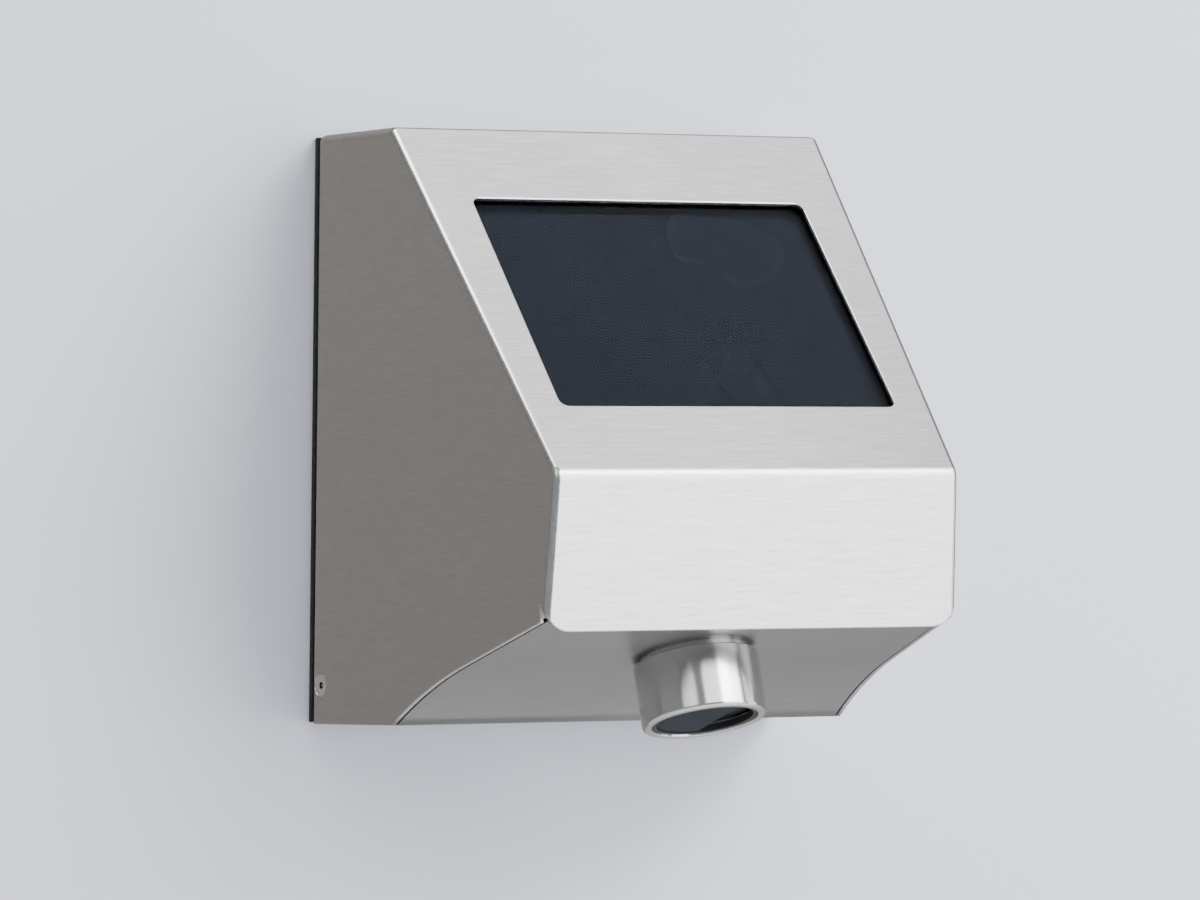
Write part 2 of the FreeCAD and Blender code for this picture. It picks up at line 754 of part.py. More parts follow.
piece("wall_gasket", wall_gasket())


def screw_bracket(hand):
    """A foot on the plate and a flange beside the cheek, slotted open to the front."""
    body = new_body("ScrewBracket")
    low = s.screw_height - s.flange_height / 2
    drawing = new_sketch(body, "XY_Plane", level(low))
    outer = s.hood_sheet / cosine(s.plan_draft) + s.flange_gap
    inner = outer + s.flange_sheet
    back = s.plate_thickness
    knee = back + s.flange_sheet
    tip = s.flange_reach

    def face(depth, inset):
        return hand * half(depth, s.screw_height, inset)

    outline(drawing, [(face(back, outer), -back), (face(tip, outer), -tip),
                      (face(tip, inner), -tip), (face(knee, inner), -knee),
                      (hand * 90, -knee), (hand * 90, -back)])
    pad(body, drawing, s.flange_height)
    slot = new_sketch(body, "YZ_Plane")
    gap = s.screw_radius + s.slot_play
    rectangle(slot, -tip - 1, level(s.screw_height - gap), -s.screw_depth + gap,
              level(s.screw_height + gap))
    pocket(body, slot, s.half_width * 3, both=True)
    return body


piece("screw_brackets", group([screw_bracket(hand) for hand in (-1, 1)]))


def cable_grommet():
    """A rubber ring with a groove that grips the plate's edge."""
    body = new_body("CableGrommet")
    drawing = new_sketch(body, "XY_Plane")
    bore = s.cable_radius - 4
    neck = s.cable_radius - 0.1
    outline(drawing, [(bore, 0), (neck, 0), (neck, -s.plate_thickness - 0.1),
                      (s.cable_radius + 3, -s.plate_thickness - 0.1),
                      (s.cable_radius + 3, -s.plate_thickness - 3),
                      (bore, -s.plate_thickness - 3)])
    spin = body.newObject("PartDesign::Revolution", "Revolution")
    spin.Profile = drawing
    spin.ReferenceAxis = (drawing, ["V_Axis"])
    spin.Angle = 360
    doc.recompute()
    bind(body, "Placement.Base.x", s.cable_x)
    bind(body, "Placement.Base.z", level(s.cable_height))
    return body


piece("cable_grommet", cable_grommet())

PLATE_Y = -s.plate_thickness


def plate_screw(x, height, seat):
    """A pan-head screw into the plate, its head on a seat that far out from the plate."""
    top = PLATE_Y - seat
    cap = rod(s.pan_head, (x, top - s.pan_height, level(height)), s.pan_height, along="y")
    stem = rod(s.screw_shank, (x, top, level(height)), seat + s.plate_thickness - 0.5,
               along="y")
    return fuse(cap, stem)


def screw_way(x, height, reach):
    """The hole that a plate screw needs, from behind the plate out to a reach."""
    return rod(s.screw_shank, (x, PLATE_Y - reach, level(height)),
               reach + s.plate_thickness + 1, along="y")


supply_far = s.supply_inner + s.supply_width
supply = box((-supply_far, PLATE_Y - s.ear_sheet - s.supply_depth, level(s.supply_low)),
             (-s.supply_inner, PLATE_Y - s.ear_sheet, level(s.supply_high)))
supply_ears = box((-supply_far, PLATE_Y - s.ear_sheet, level(s.supply_low - s.ear_length)),
                  (-s.supply_inner, PLATE_Y, level(s.supply_high + s.ear_length)))
SUPPLY_SCREWS = [(x, height)
                 for x in (-supply_far + s.ear_screw_in, -s.supply_inner - s.ear_screw_in)
                 for height in (s.supply_low - s.ear_screw, s.supply_high + s.ear_screw)]
piece("power_supply", cut(fuse(supply, supply_ears), *[
    screw_way(x, a, s.ear_sheet + 1) for x, a in SUPPLY_SCREWS]))
piece("supply_screws", group([plate_screw(x, a, s.ear_sheet) for x, a in SUPPLY_SCREWS]))

TERMINALS = 5


def terminal_block():
    """A moulded block with a row of screw wells in its front."""
    face = PLATE_Y - s.terminal_depth
    block = box((s.terminal_inner, face, level(s.terminal_low)),
                (s.terminal_inner + s.terminal_width, PLATE_Y, level(s.terminal_high)))
    middle = s.terminal_inner + s.terminal_width / 2
    wells = [rod(s.well_radius, (middle + (i - (TERMINALS - 1) / 2) * s.well_pitch, face - 1,
                                 level((s.terminal_low + s.terminal_high) / 2)),
                 s.well_depth + 1, along="y") for i in range(TERMINALS)]
    return cut(block, *wells)


piece("terminal_block", terminal_block())
earth_z = level(s.earth_height)
piece("earth_stud", fuse(
    rod(s.earth_radius, (s.earth_x, PLATE_Y - s.earth_length, earth_z), s.earth_length,
        along="y"),
    rod(s.earth_nut, (s.earth_x, PLATE_Y - s.earth_length / 2 + 1, earth_z),
        s.earth_length / 4, along="y")))


def tamper_switch():
    """A closed microswitch body with a plunger towards the cheek."""
    far = s.switch_x + s.switch_width
    body = box((s.switch_x, PLATE_Y - s.switch_depth, level(s.switch_low)),
               (far, PLATE_Y, level(s.switch_high)))
    plunger = box((far, PLATE_Y - s.switch_depth + 2, level(s.switch_high - 4)),
                  (far + 4, PLATE_Y - 2, level(s.switch_high - 2)))
    return fuse(body, plunger)


piece("tamper_switch", tamper_switch())


# ---- Ticket roll on its spindle ---------------------------------------------------------------

roll_y = -s.roll_depth
roll_z = level(s.roll_height)
roll_half = s.ticket_width / 2
arm_near = roll_half + s.side_gap
arm_far = arm_near + s.bracket_sheet
spindle_radius = s.core_bore - s.spindle_clearance
BRACKET_HALF = 9


def roll_bracket():
    arms = []
    for hand in (-1, 1):
        a, b = (arm_near, arm_far) if hand > 0 else (-arm_far, -arm_near)
        arms.append(box((a, roll_y, roll_z - BRACKET_HALF), (b, PLATE_Y, roll_z + BRACKET_HALF)))
        arms.append(rod(BRACKET_HALF, (a, roll_y, roll_z), s.bracket_sheet, along="x"))
    foot = arm_far + s.foot_reach + BRACKET_HALF / 2
    back = box((-foot, PLATE_Y - s.bracket_sheet, roll_z - BRACKET_HALF),
               (foot, PLATE_Y, roll_z + BRACKET_HALF))
    bore = rod(spindle_radius, (-arm_far - 1, roll_y, roll_z), 2 * arm_far + 2, along="x")
    return fuse(back, *arms), bore


bracket, spindle_bore = roll_bracket()
ROLL_SCREWS = [(hand * (arm_far + s.foot_reach), s.roll_height) for hand in (-1, 1)]
piece("roll_bracket", cut(bracket, spindle_bore, *[
    screw_way(x, a, s.bracket_sheet + 1) for x, a in ROLL_SCREWS]))
piece("roll_spindle", rod(spindle_radius, (-arm_far - 3, roll_y, roll_z), 2 * arm_far + 6,
                          along="x"))


def roll_ring(outer, inner):
    ring = rod(outer, (-roll_half, roll_y, roll_z), s.ticket_width, along="x")
    return cut(ring, rod(inner, (-roll_half - 1, roll_y, roll_z), s.ticket_width + 2, along="x"))


piece("roll_core", roll_ring(s.core_radius, s.core_bore))
piece("ticket_roll", roll_ring(s.roll_radius, s.core_radius))
sensor_top = roll_z - s.sensor_drop + s.sensor_height / 2
piece("paper_sensor", box(
    (arm_far, roll_y - s.sensor_lead, sensor_top - s.sensor_height),
    (arm_far + s.sensor_width, PLATE_Y, sensor_top)))


# ---- Printer: frame, platen driven by a stepper, sprung print head and cutter ------------------

platen_y = -s.printer_depth
platen_z = level(s.printer_height)
frame_half = s.frame_inner + s.frame_sheet


def printer_frame():
    body = new_body("PrinterFrame")
    drawing = new_sketch(body, "XY_Plane", level(s.frame_base))
    back, front, inner = s.frame_back, s.frame_front, s.frame_inner
    outline(drawing, [(-frame_half, -back), (frame_half, -back), (frame_half, -front),
                      (inner, -front), (inner, -back - s.frame_sheet),
                      (-inner, -back - s.frame_sheet), (-inner, -front), (-frame_half, -front)])
    pad(body, drawing, s.frame_top - s.frame_base)
    return body


head_y = -(s.printer_depth + s.platen_radius + s.head_gap)
carrier_back = head_y - s.head_sheet
pivot_y = carrier_back - s.carrier_sheet / 2
pivot_z = level(s.head_pivot_height)
bush_bore = rod(s.bush_radius, (-frame_half - 1, platen_y, platen_z), 2 * frame_half + 2,
                along="x")
pivot_bore = rod(s.pivot_radius, (-frame_half - 1, pivot_y, pivot_z), 2 * frame_half + 2, along="x")
piece("printer_frame", cut(printer_frame(), bush_bore, pivot_bore))


def bush(hand):
    start = frame_half - s.bush_length if hand > 0 else -frame_half
    ring = rod(s.bush_radius, (start, platen_y, platen_z), s.bush_length, along="x")
    return cut(ring, rod(s.shaft_radius + s.bush_clearance, (start - 1, platen_y, platen_z),
                         s.bush_length + 2, along="x"))


rubber_half = frame_half - s.bush_length - 0.5
coupling_start = frame_half + s.coupling_gap
coupling_middle = coupling_start + s.coupling_length / 2
motor_start = coupling_start + s.coupling_length + s.coupling_gap
piece("platen_bushes", group([bush(hand) for hand in (-1, 1)]))
piece("platen_shaft", rod(s.shaft_radius, (-frame_half - 2, platen_y, platen_z),
                          frame_half + 2 + coupling_middle, along="x"))
piece("platen_rubber", cut(
    rod(s.platen_radius, (-rubber_half, platen_y, platen_z), 2 * rubber_half, along="x"),
    rod(s.shaft_radius, (-rubber_half - 1, platen_y, platen_z), 2 * rubber_half + 2, along="x")))
piece("shaft_coupling", cut(
    rod(s.coupling_radius, (coupling_start, platen_y, platen_z), s.coupling_length, along="x"),
    rod(s.shaft_radius, (coupling_start - 1, platen_y, platen_z), s.coupling_length / 2 + 1,
        along="x"),
    rod(s.motor_shaft, (coupling_start, platen_y, platen_z), s.coupling_length + 1, along="x")))
motor_half = s.motor_side / 2
motor = box((motor_start, platen_y - motor_half, platen_z - motor_half),
            (motor_start + s.motor_length, platen_y + motor_half, platen_z + motor_half))
shaft_way = rod(s.motor_shaft + s.bush_clearance, (motor_start - 1, platen_y, platen_z),
                s.motor_length / 2, along="x")
piece("stepper_motor", cut(motor, shaft_way))
piece("motor_shaft", rod(s.motor_shaft, (coupling_middle, platen_y, platen_z),
                         motor_start - coupling_middle + s.motor_length / 3, along="x"))


def motor_post(sy, sz):
    spot = (frame_half, platen_y + sy * s.post_spread, platen_z + sz * s.post_spread)
    return rod(s.post_radius, spot, motor_start - frame_half, along="x")


piece("motor_posts", group([motor_post(*spot) for spot in ((1, 1), (1, -0.9), (-1, 1), (-1, -0.9))]))

carrier_half = s.frame_inner - s.carrier_play
carrier_low = level(s.frame_base + 1.5)
carrier = fuse(
    box((-carrier_half, carrier_back - s.carrier_sheet, carrier_low),
        (carrier_half, carrier_back, pivot_z)),
    rod(s.carrier_sleeve, (-carrier_half, pivot_y, pivot_z), 2 * carrier_half, along="x"))
piece("head_carrier", cut(carrier, rod(
    s.pivot_radius + s.bush_clearance, (-carrier_half - 1, pivot_y, pivot_z),
    2 * carrier_half + 2, along="x")))
piece("print_head", box((-roll_half, carrier_back, carrier_low + 1),
                        (roll_half, head_y, platen_z + s.head_rise)))
piece("head_pivot", rod(s.pivot_radius, (-frame_half - 1.5, pivot_y, pivot_z),
                        2 * frame_half + 3, along="x"))

slot_y = -(s.printer_depth + s.platen_radius)
cutter_z = level(s.cutter_base)
blade_half = roll_half + s.blade_overlap
blade_z = cutter_z + 2
blade_back = -(s.frame_back + 2)
blade_edge = slot_y + s.blade_gap


def cutter_frame():
    block = box((-frame_half, -s.frame_front, cutter_z),
                (frame_half, -s.frame_back, level(s.frame_base)))
    slot = box((-roll_half - 1, slot_y - 2, cutter_z - 1),
               (roll_half + 1, slot_y + 2, level(s.frame_base) + 1))
    side = blade_half + s.blade_play
    guide = box((-side, slot_y - 2 * s.blade_gap, blade_z - s.blade_play),
                (side, -s.frame_back + 1, blade_z + s.blade_sheet + s.blade_play))
    return cut(block, slot, guide)


piece("cutter_frame", cutter_frame())
piece("cutter_blade", box((-blade_half, blade_edge, blade_z),
                          (blade_half, blade_back, blade_z + s.blade_sheet)))
motor_low = cutter_z + 0.5
piece("cutter_motor", box(
    (-s.cutter_motor_width / 2, -s.frame_back, motor_low),
    (s.cutter_motor_width / 2, -s.frame_back + s.cutter_motor_depth,
     motor_low + s.cutter_motor_height)))


def printer_bracket():
    """Two arms out from the plate that carry the printer's frame between them."""
    parts = []
    low = level(s.frame_base + 3)
    high = low + s.printer_arm
    for hand in (-1, 1):
        a, b = frame_half, frame_half + s.bracket_sheet
        a, b = (a, b) if hand > 0 else (-b, -a)
        parts.append(box((a, -s.frame_back - 5, low), (b, PLATE_Y, high)))
        a, b = frame_half, frame_half + 14
        a, b = (a, b) if hand > 0 else (-b, -a)
        parts.append(box((a, PLATE_Y - s.bracket_sheet, low), (b, PLATE_Y, high)))
    parts.append(box((-frame_half, PLATE_Y - s.bracket_sheet, low),
                     (frame_half, PLATE_Y, high)))
    return fuse(*parts)


PRINTER_SCREWS = [(hand * (frame_half + 9), s.frame_base + rise)
                  for hand in (-1, 1) for rise in (8, 20)]
piece("printer_bracket", cut(printer_bracket(), *[
    screw_way(x, a, 3) for x, a in PRINTER_SCREWS]))
piece("bracket_screws", group(
    [plate_screw(x, a, s.bracket_sheet) for x, a in PRINTER_SCREWS + ROLL_SCREWS]))


piece("wall_plate", cut(wall_plate(), *[
    rod(1.5, (x, PLATE_Y - 1, level(height)), s.plate_thickness + 2, along="y")
    for x, height in SUPPLY_SCREWS + PRINTER_SCREWS + ROLL_SCREWS]))


# ---- Display behind the window, pressed to the hood by a tray on four studs --------------------

seal_in = -s.hood_sheet
glass_out = seal_in - s.seal_thickness
glass_in = glass_out - s.glass_thickness
lcd_out = glass_in - s.lcd_gap
lcd_in = lcd_out - s.lcd_thickness
tray_out = lcd_in - s.lcd_gap
tray_in = tray_out - s.tray_sheet
board_out = tray_in - s.standoff
board_in = board_out - s.board_sheet
glass_x = s.window_width / 2 + s.seal_lap
glass_y = s.window_height / 2 + s.seal_lap
open_x = s.window_width / 2 + s.seal_reveal
open_y = s.window_height / 2 + s.seal_reveal
stud_x = glass_x + s.stud_margin


def slab(half_x, half_y, inner, outer, frame=SLOPE):
    return box((-half_x, -half_y, inner), (half_x, half_y, outer), frame)


piece("display_seal", cut(slab(glass_x, glass_y, glass_out, seal_in),
                          slab(open_x, open_y, glass_out - 1, seal_in + 1)))
piece("cover_glass", slab(glass_x, glass_y, glass_in, glass_out))
piece("lcd_panel", slab(glass_x - 1, glass_y - 1, lcd_in, lcd_out))
STUDS = [(sx * stud_x, sy * s.stud_rise) for sx in (-1, 1) for sy in (-1, 1)]
post_x = s.board_width / 2 - s.board_inset
post_y = s.board_height / 2 - s.board_inset
POSTS = [(sx * post_x, sy * post_y) for sx in (-1, 1) for sy in (-1, 1)]
tray_nut = tray_in - s.nut_height
piece("display_studs", group([rod(s.stud_radius, (x, y, tray_nut - 2), seal_in - tray_nut + 2,
                                  SLOPE) for x, y in STUDS]))
tray = slab(glass_x + s.tray_lap, glass_y - 1, tray_in, tray_out)
tray_holes = [rod(s.stud_radius + s.hole_play, (x, y, tray_in - 1), s.tray_sheet + 2, SLOPE)
              for x, y in STUDS]
tray_window = slab(s.board_width / 4, s.board_height / 4, tray_in - 1, tray_out + 1)
piece("display_tray", cut(tray, tray_window, *tray_holes))


def ring_nut(x, y):
    nut = rod(s.nut_radius, (x, y, tray_nut), s.nut_height, SLOPE)
    return cut(nut, rod(s.stud_radius, (x, y, tray_nut - 1), s.nut_height + 2, SLOPE))


piece("tray_nuts", group([ring_nut(x, y) for x, y in STUDS]))
piece("board_posts", group([rod(s.standoff_radius, (x, y, board_out), s.standoff, SLOPE)
                            for x, y in POSTS]))
piece("controller_board", slab(s.board_width / 2, s.board_height / 2, board_in, board_out))
piece("board_screws", group([
    rod(s.board_screw, (x, y, board_in - s.board_screw_height), s.board_screw_height, SLOPE)
    for x, y in POSTS]))


def heat_sink():
    """A base plate with a comb of fins standing off the board."""
    base_in = board_in - s.sink_base
    parts = [slab(s.sink_width / 2, s.sink_length / 2, base_in, board_in)]
    for i in range(7):
        fin = -s.sink_width / 2 + i * s.fin_pitch
        parts.append(box((fin, -s.sink_length / 2, base_in - s.fin_height),
                         (fin + s.fin_sheet, s.sink_length / 2, base_in), SLOPE))
    return fuse(*parts)


piece("heat_sink", heat_sink())
connector_y = -s.connector_row - s.connector_length / 2
piece("board_connectors", group([
    box((x, connector_y, board_in - s.connector_height),
        (x + s.connector_width, connector_y + s.connector_length, board_in), SLOPE)
    for x in (-44, -24, 12, 32)]))


# ---- Spout: tube welded to the panel, collar that turns on it, guard, flap and chute -----------

piece("spout_tube", cut(
    rod(s.tube_radius, (0, 0, s.tube_start), s.tube_end - s.tube_start, SPOUT),
    rod(s.tube_radius - s.tube_wall, (0, 0, s.tube_start - 1),
        s.tube_end - s.tube_start + 2, SPOUT)))

bore = s.tube_radius + s.collar_clearance
ring_low = s.tube_start + 10
ring_high = ring_low + 2 * s.ring_section + 0.2
groove = bore + 2 * s.ring_section
piece("spout_collar", turned("SpoutCollar", [
    (s.mouth_radius, 0), (s.collar_radius - s.mouth_round, 0), (s.collar_radius, s.mouth_round),
    (s.collar_radius, s.collar_length), (bore, s.collar_length), (bore, ring_high),
    (groove, ring_high), (groove, ring_low), (bore, ring_low), (bore, s.ledge_end),
    (s.ledge_radius, s.ledge_end), (s.ledge_radius, s.ledge_start),
    (s.mouth_radius, s.ledge_start)], SPOUT))


def collar_ring():
    ring = doc.addObject("Part::Torus", "Ring")
    bind(ring, "Radius1", groove - s.ring_section)
    bind(ring, "Radius2", s.ring_section * 0.97)
    SPOUT.place(ring, as_size(0), as_size(0), ring_low + s.ring_section + 0.1)
    return ring


piece("collar_ring", collar_ring())
chord_y = root(s.ring_radius * s.ring_radius - s.guard_chord * s.guard_chord)
pin_half = chord_y - 0.2
lug_in = pin_half - 1.7
lug_out = chord_y + 0.3
lug_low = s.guard_chord + 0.2 - s.lug_width / 2
flap_x = s.guard_chord + 0.2


def guard_ring():
    outer = s.mouth_radius - s.ring_clearance
    ring = cut(rod(outer, (0, 0, s.ring_start), s.ledge_start - s.ring_start, SPOUT),
               rod(s.ring_radius, (0, 0, s.ring_start - 1), s.ledge_start + 1, SPOUT))
    lugs = []
    for hand in (-1, 1):
        a, b = (lug_in, lug_out) if hand > 0 else (-lug_out, -lug_in)
        lugs.append(box((lug_low, a, s.ledge_start - 0.5),
                        (lug_low + s.lug_width, b, s.flap_axis + 1.4), SPOUT))
    pin_way = rod(s.flap_pin_radius, (flap_x, -lug_out - 1, s.flap_axis), 2 * lug_out + 2,
                  SPOUT, along="y")
    return cut(fuse(ring, *lugs), pin_way)


piece("guard_ring", guard_ring())
guard_end = s.guard_start + s.guard_thickness
guard_disc = rod(s.ring_radius, (0, 0, s.guard_start), s.guard_thickness, SPOUT)
guard_off = box((s.guard_chord, -s.collar_radius, s.guard_start - 1),
                (s.collar_radius, s.collar_radius, guard_end + 1), SPOUT)
piece("guard_plate", cut(guard_disc, guard_off))
piece("flap_pin", rod(s.flap_pin_radius, (flap_x, -pin_half, s.flap_axis), 2 * pin_half,
                      SPOUT, along="y"))


def ticket_flap():
    """A dark segment hung on the chord pin, which a falling ticket pushes open."""
    mid = s.flap_sheet / 2
    disc = rod(s.flap_radius, (0, 0, s.flap_axis - mid), s.flap_sheet, SPOUT)
    off = box((-s.collar_radius, -s.collar_radius, s.flap_axis - 2),
              (flap_x, s.collar_radius, s.flap_axis + 2), SPOUT)
    plate = cut(disc, off)
    reach = lug_in - 0.4
    spring_end = reach - s.spring_length
    sides = [box((-s.collar_radius, a, s.flap_axis - 3), (lug_low + s.lug_width + s.flap_gap, b,
                 s.flap_axis + 3), SPOUT)
             for a, b in ((spring_end, s.collar_radius), (-s.collar_radius, -reach))]
    sleeve = rod(s.flap_sleeve, (flap_x, -reach, s.flap_axis), reach + spring_end, SPOUT,
                 along="y")
    pin_way = rod(s.flap_pin_radius + s.flap_play, (flap_x, -reach - 1, s.flap_axis),
                  2 * reach + 2, SPOUT, along="y")
    return cut(fuse(cut(plate, *sides), sleeve), pin_way)


piece("ticket_flap", ticket_flap())
spring_start = lug_in - 0.1 - s.spring_length
piece("flap_spring", cut(
    rod(1.25, (flap_x, spring_start, s.flap_axis), s.spring_length, SPOUT, along="y"),
    rod(s.flap_pin_radius + s.flap_play, (flap_x, spring_start - 1, s.flap_axis),
        s.spring_length + 2, SPOUT, along="y")))


def loft(body, halves, kind):
    """A straight-sided loft between two rectangles given as (half x, half y, distance)."""
    drawings = []
    for half_x, half_y, at in halves:
        drawing = new_sketch(body, "XY_Plane", at)
        rectangle(drawing, -half_x, -half_y, half_x, half_y)
        drawings.append(drawing)
    solid = body.newObject("PartDesign::" + kind, "Loft")
    solid.Profile = drawings[0]
    solid.Sections = [drawings[1]]
    solid.Ruled = True
    doc.recompute()


def ticket_chute():
    """A hopper from the cutter down into the tube, on a flange that rests on the tube's end."""
    body = new_body("TicketChute")
    base = s.tube_end
    throat = s.chute_throat / 2
    wall = s.chute_sheet
    loft(body, [(throat + wall, throat + wall, base),
                (s.chute_mouth_x / 2 + wall, s.chute_mouth_y / 2 + wall, s.chute_top)],
         "AdditiveLoft")
    flange = new_sketch(body, "XY_Plane", base)
    circle(flange, 0, 0, s.tube_radius)
    pad(body, flange, 2)
    loft(body, [(throat, throat, base - 0.5),
                (s.chute_mouth_x / 2, s.chute_mouth_y / 2, s.chute_top + 0.5)],
         "SubtractiveLoft")
    SPOUT.place(body, as_size(0), as_size(0), as_size(0))
    return body


piece("ticket_chute", ticket_chute())


# ---- Check every object, then write one file for each sub-part --------------------------------

doc.recompute()
for thing in doc.Objects:
    if "Invalid" in thing.State or "Error" in thing.State:
        raise ValueError("%s did not build: %s" % (thing.Label, thing.State))
for thing in pieces:
    if thing.Shape.isNull() or not thing.Shape.isValid():
        raise ValueError("%s has no valid shape" % thing.Label)

os.makedirs("parts", exist_ok=True)
for thing in pieces:
    thing.Shape.exportStep("parts/%s.step" % thing.Label)
print("%d sub-parts written" % len(pieces))
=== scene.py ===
import json
import math

import bmesh
import bpy
from mathutils import Matrix, Vector


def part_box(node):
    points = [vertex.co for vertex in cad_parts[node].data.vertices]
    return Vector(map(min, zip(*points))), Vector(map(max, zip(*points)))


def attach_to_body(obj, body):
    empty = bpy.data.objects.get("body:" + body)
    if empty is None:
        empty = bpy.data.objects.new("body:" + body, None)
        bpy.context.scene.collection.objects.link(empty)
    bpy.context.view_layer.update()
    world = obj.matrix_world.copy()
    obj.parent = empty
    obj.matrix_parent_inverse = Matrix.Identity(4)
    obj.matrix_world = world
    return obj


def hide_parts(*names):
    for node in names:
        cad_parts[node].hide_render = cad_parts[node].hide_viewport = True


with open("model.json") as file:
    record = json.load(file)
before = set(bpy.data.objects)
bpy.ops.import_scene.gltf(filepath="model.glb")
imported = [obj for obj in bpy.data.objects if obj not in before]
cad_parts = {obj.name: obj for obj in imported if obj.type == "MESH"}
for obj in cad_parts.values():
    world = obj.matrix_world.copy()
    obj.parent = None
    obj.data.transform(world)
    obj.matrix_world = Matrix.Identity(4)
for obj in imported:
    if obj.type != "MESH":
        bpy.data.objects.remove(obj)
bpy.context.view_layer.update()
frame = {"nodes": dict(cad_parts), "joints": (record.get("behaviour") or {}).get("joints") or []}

scene = bpy.context.scene
nodes = frame["nodes"]


# ---- The wall it hangs on, and the floor -------------------------------------------------
# A plain painted wall just behind the wall plate, open behind the plate so that light reaches
# the back, and a pale floor at the height where a machine used by hand would have it.

def add(tree, kind, links=None, **settings):
    """One shader node; each link is a value for an input or another node's output."""
    fresh = tree.nodes.new("ShaderNode" + kind)
    for name, value in settings.items():
        setattr(fresh, name, value)
    for name, value in (links or {}).items():
        socket = fresh.inputs[name]
        if isinstance(value, bpy.types.NodeSocket):
            tree.links.new(value, socket)
        else:
            socket.default_value = value
    return fresh


def finish_of(name, colour, roughness, metal=0.0):
    """A new material with its node tree and its surface shader."""
    material = bpy.data.materials.new(name)
    material.use_nodes = True
    tree = material.node_tree
    surface = tree.nodes["Principled BSDF"]
    surface.inputs["Base Color"].default_value = (*colour, 1)
    surface.inputs["Roughness"].default_value = roughness
    surface.inputs["Metallic"].default_value = metal
    return material, tree, surface


def grain(tree, scale, detail=2.0, stretch=(1, 1, 1)):
    """Noise from 0 to 1 in the object's own metres, drawn out along an axis by stretch."""
    place = add(tree, "TexCoord").outputs["Object"]
    place = add(tree, "Mapping", {"Vector": place, "Scale": stretch}).outputs["Vector"]
    noise = add(tree, "TexNoise", {"Vector": place, "Scale": scale, "Detail": detail})
    return noise.outputs[0]


def between(tree, factor, low, high):
    """A factor from 0.3 to 0.7 spread over two numbers."""
    return add(tree, "MapRange", {"Value": factor, "From Min": 0.3, "From Max": 0.7,
                                  "To Min": low, "To Max": high}).outputs["Result"]


def shade(tree, factor, dark, light):
    """A colour between two colours."""
    mix = add(tree, "Mix", {"Factor": factor}, data_type="RGBA")
    mix.inputs[6].default_value = (*dark, 1)
    mix.inputs[7].default_value = (*light, 1)
    return mix.outputs[2]


def relief(tree, surface, factor, distance, strength=0.3, normal=None):
    """Raise the surface by a factor times a distance in metres."""
    links = {"Height": factor, "Distance": distance, "Strength": strength}
    if normal is not None:
        links["Normal"] = normal
    bump = add(tree, "Bump", links)
    tree.links.new(bump.outputs["Normal"], surface.inputs["Normal"])
    return bump.outputs["Normal"]


def mesh_object(name, points, faces):
    mesh = bpy.data.meshes.new(name)
    mesh.from_pydata([tuple(p) for p in points], [], faces)
    mesh.update()
    thing = bpy.data.objects.new(name, mesh)
    scene.collection.objects.link(thing)
    return thing


def one_sided(tree, surface):
    """Nothing is to be seen from behind a wall or from under a floor but the machine."""
    clear = add(tree, "BsdfTransparent")
    behind = add(tree, "NewGeometry").outputs["Backfacing"]
    mix = add(tree, "MixShader", {0: behind, 1: surface.outputs[0], 2: clear.outputs[0]})
    tree.links.new(mix.outputs[0], tree.nodes["Material Output"].inputs["Surface"])


def wall_finish():
    material, tree, surface = finish_of("wall_paint", (0.83, 0.855, 0.965), 0.9)
    tone = between(tree, grain(tree, 2.5), 0.0, 1.0)
    tree.links.new(shade(tree, tone, (0.82, 0.845, 0.955), (0.84, 0.865, 0.975)),
                   surface.inputs["Base Color"])
    one_sided(tree, surface)
    return material


def wall_and_floor():
    plate_low, plate_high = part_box("wall_plate")
    reach = 3.0
    floor_z = -1.15
    floor_side, floor_front, floor_back = 4, -5, 3
    behind_plate = 0.0004
    y = plate_high.y + behind_plate
    outer = [(-reach, y, floor_z), (reach, y, floor_z), (reach, y, reach), (-reach, y, reach)]
    inner = [(plate_low.x, y, plate_low.z), (plate_high.x, y, plate_low.z),
             (plate_high.x, y, plate_high.z), (plate_low.x, y, plate_high.z)]
    wall = mesh_object("wall", outer + inner,
                       [(i, (i + 1) % 4, 4 + (i + 1) % 4, 4 + i) for i in range(4)])
    wall.data.materials.append(wall_finish())
    wall.visible_glossy = False
    floor = mesh_object("floor", [(-floor_side, floor_front, floor_z),
                                  (floor_side, floor_front, floor_z),
                                  (floor_side, floor_back, floor_z),
                                  (-floor_side, floor_back, floor_z)], [(0, 1, 2, 3)])
    material, tree, surface = finish_of("floor_paint", (0.78, 0.79, 0.80), 0.8)
    relief(tree, surface, grain(tree, 40), 0.0004, 0.2)
    one_sided(tree, surface)
    floor.data.materials.append(material)


wall_and_floor()


# ---- Camera and studio light -----------------------------------------------------------------
# A long lens from the left front, almost level with the machine. One large soft box in front and
# to the right gives most of the light, and six smaller ones fill in from above and both sides.
# A dark flag behind is there for the left cheek to mirror.

def place_camera():
    yaw, pitch, roll = [math.radians(a) for a in (-28.08, -1.12, -0.62)]
    back = Vector((math.sin(yaw) * math.cos(pitch), -math.cos(yaw) * math.cos(pitch),
                   math.sin(pitch)))
    right = Vector((math.cos(yaw), math.sin(yaw), 0))
    up = right.cross(-back)
    across = math.cos(roll) * right + math.sin(roll) * up
    above = math.cos(roll) * up - math.sin(roll) * right
    lens = bpy.data.cameras.new("camera")
    lens.sensor_width = 36.0
    lens.lens = 210.0
    camera = bpy.data.objects.new("camera", lens)
    scene.collection.objects.link(camera)
    aim = Vector((0, -0.1, 0))
    distance = 3.061
    to_the_left, down = 0.0209, 0.0113
    spot = aim + back * distance - across * to_the_left - above * down
    turn = Matrix((across, above, back)).transposed().to_4x4()
    camera.matrix_world = Matrix.Translation(spot) @ turn
    scene.camera = camera


